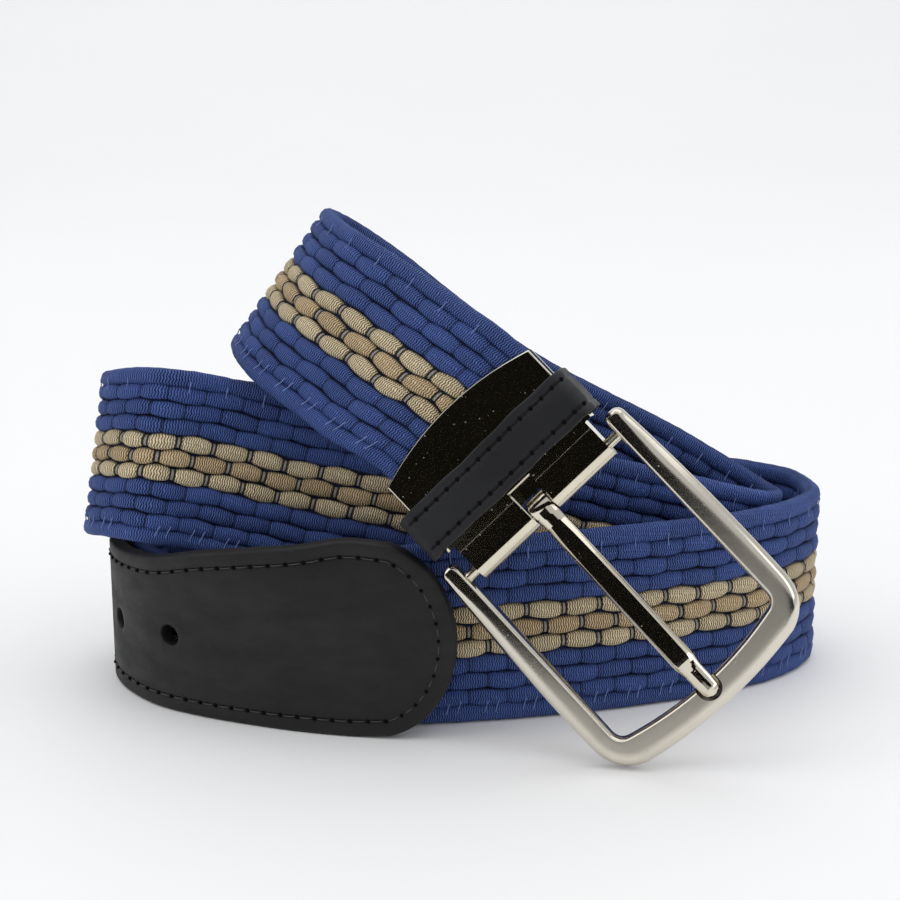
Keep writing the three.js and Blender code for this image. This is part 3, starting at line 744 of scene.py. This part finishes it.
def leather_section(half_width, half_thick, groove):
    """A section's outline as a closed loop of across and through; the visible face is negative."""
    edge = min(0.75, 0.3 * half_width)
    inset = half_width - min(STITCH_INSET, 0.5 * half_width)
    corner = [(half_width - edge + edge * math.sin(turn), half_thick - 0.75 + 0.75 * math.cos(turn))
              for turn in np.radians(np.linspace(0, 90, 5))]
    spread = (half_width - inset) / STITCH_INSET
    seam = [(inset + share * spread, groove * depth - half_thick)
            for share, depth in ((0.55, 0), (0.25, 0.6), (0, 1), (-0.25, 0.6), (-0.7, 0))]
    half = corner + [(a, -t) for a, t in corner[::-1]] + seam
    flat = [(share * seam[-1][0], -half_thick) for share in (0.7, 0.35, 0.0, -0.35, -0.7)]
    other = [(-a, t) for a, t in half[::-1]]
    top = [(share * (half_width - edge), half_thick) for share in (-0.8, -0.4, 0.0, 0.4, 0.8)]
    return np.array(half + flat + other + top)


def tip_section(start, width, turn):
    """Middle and half width of a section of the rounded end, turn in degrees to 90."""
    reach = math.sin(math.radians(turn))
    widest = width / 2 / math.sqrt(1 - TIP_START**2)
    half = widest * math.sqrt(1 - (TIP_START + (1 - TIP_START) * reach) ** 2)
    return start + (LEATHER_END - start) * reach, half


def make_leather_tip():
    total = leather.length[-1]
    lengths = np.concatenate([np.arange(0, total, 1.1), [total]])
    middle, across, through, width = leather.at(lengths)
    thick = leather_thickness(lengths)
    rings = []
    for index in range(len(lengths)):
        section = leather_section(width[index] / 2, thick[index], SEAM_GROOVE)
        rings.append(middle[index] + across[index] * section[:, :1] + through[index] * section[:, 1:])
    # The rounded end shrinks as an ellipse does
    for turn in np.linspace(4, 86, 30):
        place, half = tip_section(middle[-1], width[-1], turn)
        edge = min(1.0, half / 3)
        section = leather_section(half, LEATHER_HALF * edge**0.3, SEAM_GROOVE * max(0.0, 1 - turn / 20))
        rings.append(place + across[-1] * section[:, :1] + through[-1] * section[:, 1:])
    thing = make_object("leather_tip_skin", np.vstack(rings), ring_faces(len(rings), len(rings[0])))
    first_hole = total + np.linalg.norm(LEATHER_END - middle[-1]) - FIRST_HOLE_FROM_TIP
    cutters = []
    for hole in range(HOLES):
        centre, up, out, _ = leather.at(np.array([first_hole - hole * HOLE_PITCH]))
        side = unit(np.cross(up[0], out[0]))
        turn = full_turn(32)
        loop = side * np.cos(turn)[:, None] + np.cross(out[0], side) * np.sin(turn)[:, None]
        plug = np.vstack([centre[0] + out[0] * height + loop * radius for height, radius in HOLE_PROFILE])
        cutters.append(make_object("plug", plug, ring_faces(len(HOLE_PROFILE), 32)))
    apply_cut(thing, cutters)
    pocket = BOX_CORNERS * POCKET_SIZE + POCKET_MIDDLE
    apply_cut(thing, [make_object("pocket", pocket, BOX_FACES, smooth=False)])
    sharpen(thing, 50)
    dress(thing, LEATHER, "belt", "leather_tip")


make_leather_tip()


HOLE_SHADE_HEIGHT = -0.07


def stitch_line(line, outward, hole_shades, threads, pitch=3.3):
    """Threads along a seam with a near-black blob at each end, painted shade standing in for the stitch hole.
    line and outward are dense.
    """
    length = lengths_along(line)
    for start in np.arange(0.4, length[-1] - pitch, pitch):
        places = start + np.linspace(0.25, pitch - 0.25, 7)
        spot = read_off(places, length, line)
        out = unit(read_off(places, length, outward))
        lift = np.array([-0.45, -0.16, -0.04, 0.0, -0.04, -0.16, -0.45])
        threads.add(spot + out * lift[:, None], 0.12, out[3])
        here = read_off([start], length, line)[0]
        direction = unit(spot[0] - here + 1e-9)
        reach = np.linspace(-0.34, 0.34, 3)[:, None]
        # A near-black blob as painted shade in the stitch hole
        hole_shades.add(here + direction * reach + out[0] * HOLE_SHADE_HEIGHT, 0.42, out[0])


def make_leather_stitches():
    threads, hole_shades = Threads(5), Threads(6)
    lengths = np.arange(2.5, leather.length[-1], 0.5)
    middle, across, through, width = leather.at(lengths)
    thick = leather_thickness(lengths)
    aside = across * (width / 2 - STITCH_INSET)[:, None]
    top, low = (middle + side * aside - through * thick[:, None] for side in (1, -1))
    # Round the nose, at the same distance inside the outline
    turn = np.radians(np.linspace(0, 90, 60))
    reach = np.linalg.norm(LEATHER_END - middle[-1])
    outline = np.array([(reach * math.sin(angle), tip_section(middle[-1], width[-1], math.degrees(angle))[1])
                        for angle in turn])
    slope = unit(np.gradient(outline, axis=0))
    inner = outline + STITCH_INSET * np.column_stack([slope[:, 1], -slope[:, 0]])
    ahead = unit(LEATHER_END - middle[-1])
    inner = inner[(inner[:, 0] >= 0) & (inner[:, 1] >= 0)]
    face = middle[-1] - through[-1] * LEATHER_HALF
    upper = face + inner[:, :1] * ahead + inner[:, 1:] * across[-1]
    lower = face + inner[:, :1] * ahead - inner[:, 1:] * across[-1]
    down = np.linspace(inner[-1, 1], -inner[-1, 1], 40)[1:-1, None]
    nose = face + inner[-1, 0] * ahead + down * across[-1]
    line = np.vstack([top, upper, nose, lower[::-1], low[::-1]])
    at_end = len(upper) + len(nose) + len(lower)
    outward = np.vstack([-through, np.tile(-through[-1], (at_end, 1)), -through[::-1]])
    stitch_line(line, outward, hole_shades, threads)
    # Across the mouth of the pocket, on both faces, and along the inner face
    share = np.linspace(-1, 1, 40)[:, None] * (width[0] / 2 - STITCH_INSET)
    for face in (-1, 1):
        mouth = middle[0] + across[0] * share + through[0] * face * thick[0]
        stitch_line(mouth, np.tile(through[0] * face, (40, 1)), hole_shades, threads)
    shift = 2 * np.concatenate([thick, np.full(at_end, LEATHER_HALF), thick[::-1]])
    stitch_line(line - outward * shift[:, None], -outward, hole_shades, threads)
    for gathered, name, material in ((threads, "leather_tip_stitches", STITCH_BLACK_GLINT),
                                     (hole_shades, "leather_tip_hole_shades", STITCH_HOLE_SHADE)):
        thing = gathered.make(name)
        dress(thing, material, "belt", "leather_tip")


make_leather_stitches()

# Keeper
CLAMP_WIDTH = 34.5
CLAMP_LENGTH = 21.1
CLAMP_ARCH = 2.7
CLAMP_HALF = 2.6
CLAMP_WALL = 0.85
KEEPER_START = 5.9
KEEPER_LENGTH = 9.0
KEEPER_WALL = 1.7
KEEPER_SEAM_INSET = 1.7
LOOP_STEP = 0.6


def rounded_loop(half_width, low, high, radius):
    """Points and outward directions round a rectangle with round corners."""
    points, normals = [], []
    corners = [(half_width - radius, low + radius, -90), (half_width - radius, high - radius, 0),
               (-half_width + radius, high - radius, 90), (-half_width + radius, low + radius, 180)]
    for index, (x, y, start) in enumerate(corners):
        round_corner = [np.array(normal) for normal in arc(0, 0, 1, start, start + 90, 9)]
        points += [np.array([x, y]) + radius * normal for normal in round_corner]
        normals += round_corner
        next_x, next_y, next_start = corners[(index + 1) % 4]
        normal = np.array(arc(0, 0, 1, next_start, next_start, 1)[0])
        goal = np.array([next_x, next_y]) + radius * normal
        count = max(1, int(np.linalg.norm(goal - points[-1]) / LOOP_STEP))
        start_point = points[-1]
        for share in np.linspace(0, 1, count + 1)[1:-1]:
            points.append(start_point + (goal - start_point) * share)
            normals.append(normal)
    return np.array(points), np.array(normals)


def keeper_section(half, seam):
    """The keeper's cut across its wall, with two seams pressed into its outer face."""
    edge = 0.32
    section = [(-half + edge, 0.0), (half - edge, 0.0)]
    section += arc(half - edge, edge, edge, -90, 0, 4)
    section += [(half, 0.75), (half - 0.08, 0.85), (half, 0.95)]
    section += arc(half - edge, KEEPER_WALL - edge, edge, 0, 90, 5)
    groove = [(seam + 0.45, 0.0), (seam + 0.2, 0.14), (seam, 0.22), (seam - 0.2, 0.14), (seam - 0.6, 0.0)]
    crown = [(1.4, -0.02), (0.0, -0.04), (-1.4, -0.02)]
    outer = groove + crown + [(-place, depth) for place, depth in groove[::-1]]
    section += [(place, KEEPER_WALL - depth) for place, depth in outer]
    section += arc(-half + edge, KEEPER_WALL - edge, edge, 90, 180, 5)
    section += [(-half, 0.95), (-half + 0.08, 0.85), (-half, 0.75)]
    section += arc(-half + edge, edge, edge, 180, 270, 4)[:-1]
    return np.array(section)


def make_keeper():
    low, high = -CLAMP_HALF - 0.4, CLAMP_HALF + 4.4
    inner, normals = rounded_loop(CLAMP_WIDTH / 2 + 0.4, low, high, 1.0)
    half = KEEPER_LENGTH / 2
    middle = KEEPER_START + half
    seam = half - KEEPER_SEAM_INSET
    section = keeper_section(half, seam)
    length = np.arange(len(inner)) / len(inner)
    wave = 0.1 * np.sin(length * 31) + 0.07 * np.sin(length * 77 + 1)
    rings = []
    for point, normal, drift in zip(inner, normals, wave):
        flat = point[None] + normal[None] * section[:, 1:]
        rings.append(buckle_point(flat[:, 0], middle + section[:, 0] + drift, flat[:, 1]))
    faces = ring_faces(len(rings), len(section), joined=True)
    thing = make_object("keeper_skin", np.vstack(rings), faces)
    sharpen(thing, 55)
    dress(thing, KEEPER_LEATHER, "belt", "keeper_loop")
    threads, hole_shades = Threads(5), Threads(6)
    outer = inner + normals * KEEPER_WALL
    front = (normals[:, 1] > -0.5) & (np.abs(outer[:, 1] - outer[:, 1].max()) < 1.2)
    order = np.argsort(-outer[front][:, 0], kind="stable")
    flat, out = outer[front][order], normals[front][order]
    outward = out[:, :1] * HINGE + out[:, 1:] * OUT
    for side in (1, -1):
        path = buckle_point(flat[:, 0], middle + side * seam, flat[:, 1])
        stitch_line(path, outward, hole_shades, threads, 2.5)
    for gathered, name, material in ((threads, "keeper_stitches", STITCH_DARK),
                                     (hole_shades, "keeper_hole_shades", STITCH_HOLE_SHADE)):
        thing = gathered.make(name)
        dress(thing, material, "belt", "keeper_loop")


make_keeper()

# End clamp
BARREL_RADIUS = 2.3
BARREL_HALF = 15.75
SLOT_HALF = 2.35
SLOT_REACH = 5.4


def clamp_outline(reach):
    """The clamp's side view, out round the front, the barrel and the back, and back inside."""
    half, wall = CLAMP_HALF, CLAMP_WALL
    front = [(reach, half - 0.28), (reach - 0.07, half - 0.12), (reach - 0.22, half), (reach - 0.5, half)]
    front += [(y, half) for y in np.linspace(reach - 2, 6.6, 9)]
    front += [(y, half - drop) for y, drop in (
        (6.2, 0.02), (5.8, 0.06), (5.0, 0.12), (4.3, 0.17), (4.08, 0.19), (4.0, 0.27), (3.92, 0.2),
        (3.6, 0.22), (2.4, 0.26), (1.2, 0.28))]
    round_barrel = arc(0, 0, BARREL_RADIUS, 84, 276, 26)
    back = [(y, -z) for y, z in front[::-1]]
    inner = [(reach, -half + wall), (6.6, -half + wall), (6.3, -half + wall + 0.3), (6.3, half - wall - 0.3),
             (6.6, half - wall), (reach, half - wall)]
    return np.array(front + round_barrel + back + inner)


def make_clamp():
    half = CLAMP_WIDTH / 2
    columns = np.concatenate([[-half, -half + 0.06, -half + 0.2], np.linspace(-half + 0.6, half - 0.6, 58),
                              [half - 0.2, half - 0.06, half]])
    rings = []
    for x in columns:
        reach = CLAMP_LENGTH + CLAMP_ARCH * (1 - (x / half) ** 2)
        outline = clamp_outline(reach)
        slim = np.interp(half - abs(x), [0, 0.06, 0.2], [0.97, 0.99, 1])
        rings.append(buckle_point(x, outline[:, 0], outline[:, 1] * slim))
    thing = make_object("clamp_plate", np.vstack(rings), ring_faces(len(rings), len(rings[0])))
    apply_cut(thing, [
        flared_slot(),
        hinge_box(0, SLOT_HALF, 2.7),
        hinge_box(BARREL_HALF + 2, 2.0, SLOT_REACH),
        hinge_box(-BARREL_HALF - 2, 2.0, SLOT_REACH),
    ])
    sharpen(thing, 35)
    dress(thing, DARK_CHROME, "belt", "end_clamp")


def flared_slot():
    """Room for the prong's eye, its mouth broken by a small chamfer."""
    rings = []
    for z, grow in ((-1.4, 0.0), (2.14, 0.0), (2.44, 0.3), (8.0, 0.3)):
        wide, far = SLOT_HALF + grow, SLOT_REACH + grow
        corners = np.array([(-wide, -5.0), (wide, -5.0), (wide, far), (-wide, far)])
        rings.append(buckle_point(corners[:, 0], corners[:, 1], z))
    return make_object("slot", np.vstack(rings), ring_faces(4, 4), smooth=False)


def hinge_box(middle, half_x, half_y):
    """A cutter that reaches through the clamp, its middle at a place along the hinge."""
    x, y, z = (BOX_CORNERS * (half_x, half_y, 6)).T
    return make_object("cutter", buckle_point(middle + x, y, z), BOX_FACES, smooth=False)


make_clamp()

# Buckle frame
INNER = 18.0
OUTER_HINGE = 21.8
OUTER_FAR = 22.7
REACH = 46.0
NOSE = 4.0
NOTCH_RADIUS = 2.3
NOTCH_REACH = 44.2
NOTCH_FLOOR = 0.45


def curve(start, control, end, count=20):
    share = np.linspace(0, 1, count, endpoint=False)[:, None]
    start, control, end = (np.array(point, dtype=float) for point in (start, control, end))
    return (1 - share) ** 2 * start + 2 * share * (1 - share) * control + share**2 * end


def straight(start, end):
    """Points about a millimetre apart."""
    start, end = np.array(start, dtype=float), np.array(end, dtype=float)
    count = max(1, int(np.linalg.norm(end - start)))
    return start + (end - start) * np.linspace(0, 1, count, endpoint=False)[:, None]


def frame_outline():
    """The frame's plan, round the inside and back round the outside, and the bevel's width at each point."""
    inner_far = -REACH + 7.6
    inner_turn = INNER - 2
    inner_low = inner_far - 0.4
    outer_turn = OUTER_FAR - 5.8
    outer_edge = -REACH + 1.6
    corner = -REACH + 10.3
    tip = OUTER_HINGE - 2
    low = NOSE - 2
    parts = [
        (curve((tip, NOSE), (INNER, NOSE), (INNER, low)), 0.9),
        (straight((INNER, low), (INNER, inner_far + 2)), 0.75),
        (curve((INNER, inner_far + 2), (INNER, inner_far), (inner_turn, inner_low)), 0.75),
        (curve((inner_turn, inner_low), (0, inner_far - 4.2), (-inner_turn, inner_low), 40), 0.75),
        (curve((-inner_turn, inner_low), (-INNER, inner_far), (-INNER, inner_far + 2)), 0.75),
        (straight((-INNER, inner_far + 2), (-INNER, low)), 0.75),
        (curve((-INNER, low), (-INNER, NOSE), (-tip, NOSE)), 0.9),
        (curve((-tip, NOSE), (-OUTER_HINGE, NOSE), (-OUTER_HINGE, low)), 1.3),
        (curve((-OUTER_HINGE, low), (-OUTER_FAR - 0.5, corner / 2), (-OUTER_FAR, corner), 40), 2.2),
        (curve((-OUTER_FAR, corner), (-OUTER_FAR, outer_edge + 2.1), (-outer_turn, outer_edge)), 2.2),
        (curve((-outer_turn, outer_edge), (0, outer_edge - 3.2), (outer_turn, outer_edge), 40), 2.2),
        (curve((outer_turn, outer_edge), (OUTER_FAR, outer_edge + 2.1), (OUTER_FAR, corner)), 2.2),
        (curve((OUTER_FAR, corner), (OUTER_FAR + 0.5, corner / 2), (OUTER_HINGE, low), 40), 2.2),
        (curve((OUTER_HINGE, low), (OUTER_HINGE, NOSE), (tip, NOSE)), 1.3),
    ]
    points = np.vstack([part for part, _ in parts])
    widths = np.concatenate([np.full(len(part), width) for part, width in parts])
    nose = np.interp(points[:, 1], [-7, NOSE - 2], [2.2, 0.95])
    widths = np.minimum(widths, nose)
    padded = np.concatenate([widths[-3:], widths, widths[:3]])
    return points, np.convolve(padded, np.ones(7) / 7, "valid")


def make_frame():
    outline, widths = frame_outline()
    following = np.roll(outline, -1, axis=0)
    ahead = unit(following - np.roll(outline, 1, axis=0))
    area = np.sum(outline[:, 0] * following[:, 1] - following[:, 0] * outline[:, 1])
    inward = np.column_stack([-ahead[:, 1], ahead[:, 0]]) * np.sign(area)
    # share of the bevel's width, height, flatness
    profile = [(1.25, 1.75, 1.0), (1.08, 1.745, 1.0), (0.92, 1.72, 1.0), (0.76, 1.665, 0.8), (0.6, 1.57, 0.4),
               (0.45, 1.41, 0.1), (0.31, 1.18, 0.0), (0.18, 0.85, 0.0), (0.08, 0.45, 0.0), (0.015, 0.0, 0.0),
               (0.0, -0.45, 0.0), (0.04, -0.9, 0.0), (0.14, -1.3, 0.0), (0.3, -1.6, 0.0), (0.48, -1.72, 0.0),
               (0.62, -1.75, 0.3)]
    rings, tints, maps = [], [], []
    for share, height, flat in profile:
        flat_points = outline + inward * (widths * share)[:, None]
        rings.append(buckle_point(flat_points[:, 0], flat_points[:, 1], height, True))
        tints.append(np.tile([flat, 0.0, 0.0], (len(outline), 1)))
        maps.append(flat_points)
    thing = make_object("buckle_frame_bars", np.vstack(rings), ring_faces(len(rings), len(outline)),
                        uv=np.vstack(maps), tint=np.vstack(tints))
    plan = arc(0, NOTCH_RADIUS - NOTCH_REACH, NOTCH_RADIUS, 180, 360, 25)
    plan = np.array(plan + [(NOTCH_RADIUS, -36.0), (-NOTCH_RADIUS, -36.0)])
    low, high = (buckle_point(plan[:, 0], plan[:, 1], z, True) for z in (NOTCH_FLOOR, NOTCH_FLOOR + 6))
    cutter = make_object("notch", np.vstack([low, high]), ring_faces(2, len(plan)), smooth=False)
    apply_cut(thing, [cutter])
    sharpen(thing, 32)
    dress(thing, NICKEL, "frame", "buckle_frame")


make_frame()

# Prong: from the hinge, low, high, half width, share of the width that the flat top takes
PRONG_SECTIONS = [
    (-1.2, -0.9, 2.0, 2.0, 0.5),
    (0.4, -0.9, 2.2, 2.1, 0.5),
    (2.2, -0.6, 2.35, 2.05, 0.5),
    (4, -0.3, 2.3, 2.0, 0.55),
    (7, -0.1, 2.45, 2.1, 0.62),
    (12, 0.1, 2.65, 2.1, 0.68),
    (20, 0.3, 2.9, 2.1, 0.7),
    (28, 0.6, 3.15, 2.1, 0.7),
    (35.2, 0.85, 3.4, 2.1, 0.66),
    (36.0, 0.88, 3.36, 2.06, 0.6),
    (36.6, 0.9, 3.25, 1.95, 0.55),
    (37.2, 0.9, 3.1, 1.8, 0.5),
    (37.9, 0.9, 3.0, 1.72, 0.46),
    (40.4, 0.9, 2.92, 1.7, 0.44),
    (42.2, 0.9, 2.8, 1.62, 0.45),
    (43.0, 0.98, 2.6, 1.35, 0.4),
    (43.35, 1.1, 2.35, 0.95, 0.35),
    (43.45, 1.3, 2.1, 0.5, 0.3),
]
EYE_SIDES = 40


def make_prong():
    table = np.array(PRONG_SECTIONS)
    reach = np.unique(np.concatenate([np.linspace(table[0, 0], table[-1, 0], 130), table[:, 0]]))
    rings = []
    for place in reach:
        low, high, half, share = (np.interp(place, table[:, 0], table[:, column]) for column in range(1, 5))
        top = half * share
        side = [(half - 0.1, high - 0.55), (half, high - 0.75), (half, high - 1.0),
                (half, low + 0.7), (half - 0.25, low + 0.2), (half - 0.8, low)]
        ring = [(-top, high), (-top * 0.33, high), (top * 0.33, high), (top, high)]
        ring = np.array(ring + side + [(-x, z) for x, z in side[::-1]])
        rings.append(buckle_point(ring[:, 0], -place, ring[:, 1], True))
    points = np.vstack(rings)
    faces = ring_faces(len(rings), len(rings[0]))
    # The eye: a band round the pin with rounded rims
    profile = [(-2.1, 1.35), (-2.1, 2.0), (-2.0, 2.2), (-1.8, 2.3),
               (1.8, 2.3), (2.0, 2.2), (2.1, 2.0), (2.1, 1.35)]
    x, radius = np.array(profile).T
    eye = [buckle_point(x, radius * math.cos(turn), radius * math.sin(turn), True)
           for turn in full_turn(EYE_SIDES)]
    faces += ring_faces(EYE_SIDES, len(profile), len(points), joined=True)
    thing = make_object("prong_bar", np.vstack([points, *eye]), faces)
    sharpen(thing, 34)
    dress(thing, POLISHED, "prong", "buckle_prong")


make_prong()

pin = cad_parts["hinge_pin"]
pin.data.materials.clear()
pin.data.materials.append(PIN_NICKEL)


# Stage
FLOOR_GAP = 0.00002


def look_at(thing, place, aim):
    thing.location = place
    thing.rotation_euler = (Vector(aim) - Vector(place)).to_track_quat("-Z", "Y").to_euler()
    bpy.context.scene.collection.objects.link(thing)


def stage_sheet(name, profile, left, right):
    """A sheet from left to right along a profile of y and z, in metres."""
    mesh = bpy.data.meshes.new(name)
    points = [(x, y, z) for y, z in profile for x in (left, right)]
    mesh.from_pydata(points, [], [(2 * i, 2 * i + 1, 2 * i + 3, 2 * i + 2) for i in range(len(profile) - 1)])
    sheet = bpy.data.objects.new(name, mesh)
    bpy.context.scene.collection.objects.link(sheet)
    return sheet


def cover(sheet, name, scale, first, second, roughness, specular):
    """A dull two-tone material for a stage sheet."""
    shader = Shader(name)
    tone = shader.mix(shader.noise(shader.place(), scale), first, second)
    shader.fix(Specular_IOR_Level=specular)
    sheet.data.materials.append(shader.set(Base_Color=tone, Roughness=roughness))


def make_stage():
    """A pale floor that rises in a wide curve behind the belt, a hair below its lowest point."""
    profile = [(-3.0, 0.0), (0.9, 0.0)] + arc(0.9, 1.2, 1.2, -90, 0, 19)[1:] + [(2.1, 3.5)]
    floor = stage_sheet("stage_floor", [(y, z - FLOOR_GAP) for y, z in profile], -4.0, 4.0)
    floor.data.polygons.foreach_set("use_smooth", [True] * len(floor.data.polygons))
    cover(floor, "stage_paper", 6.0, (0.935, 0.935, 0.94, 1.0), (0.96, 0.96, 0.962, 1.0), 0.6, 0.25)


def area_light(name, place, aim, width, height, power, colour=(1.0, 1.0, 1.0)):
    data = bpy.data.lights.new(name, "AREA")
    data.shape = "RECTANGLE"
    data.size = width
    data.size_y = height
    data.energy = power
    data.color = colour
    lamp = bpy.data.objects.new(name, data)
    look_at(lamp, place, aim)


def make_world():
    """Even pale light from all round."""
    world = bpy.data.worlds.new("studio")
    world.use_nodes = True
    back = world.node_tree.nodes["Background"]
    back.inputs["Color"].default_value = (0.95, 0.96, 0.98, 1.0)
    back.inputs["Strength"].default_value = 0.64
    bpy.context.scene.world = world


def make_flag():
    """A black card low in front, seen only in the bright metal."""
    profile = [(-0.29, 0.004), (-0.42, 0.012), (-0.55, 0.06), (-0.62, 0.16), (-0.65, 0.3)]
    card = stage_sheet("stage_flag", profile, -1.1, 0.9)
    cover(card, "stage_card", 9.0, (0.004, 0.0038, 0.003, 1.0), (0.009, 0.008, 0.006, 1.0), 0.9, 0.0)
    card.visible_camera = False
    card.visible_diffuse = False
    card.visible_shadow = False


def make_camera():
    target = np.array([-1.3, -4.6, 48.6]) * MM
    tilt = math.radians(14)
    place = target + 0.34 * np.array([0, -math.cos(tilt), math.sin(tilt)])
    data = bpy.data.cameras.new("photo_view")
    data.sensor_width = 36
    data.lens = 74.12
    camera = bpy.data.objects.new("photo_view", data)
    look_at(camera, place, target)
    data.clip_start = 0.01
    bpy.context.scene.camera = camera


bpy.context.scene.view_settings.view_transform = "Standard"
make_stage()
make_flag()
make_world()
area_light("top", (0.05, 0.4, 1.5), (0, 0.25, 0), 2.6, 2.4, 14.5)
area_light("left", (-0.8, -0.35, 0.6), (0, 0, 0.04), 0.5, 0.6, 1.3, (1.0, 0.99, 0.97))
area_light("right", (0.85, -0.3, 0.5), (0, 0, 0.04), 0.4, 0.6, 1.0)
make_camera()
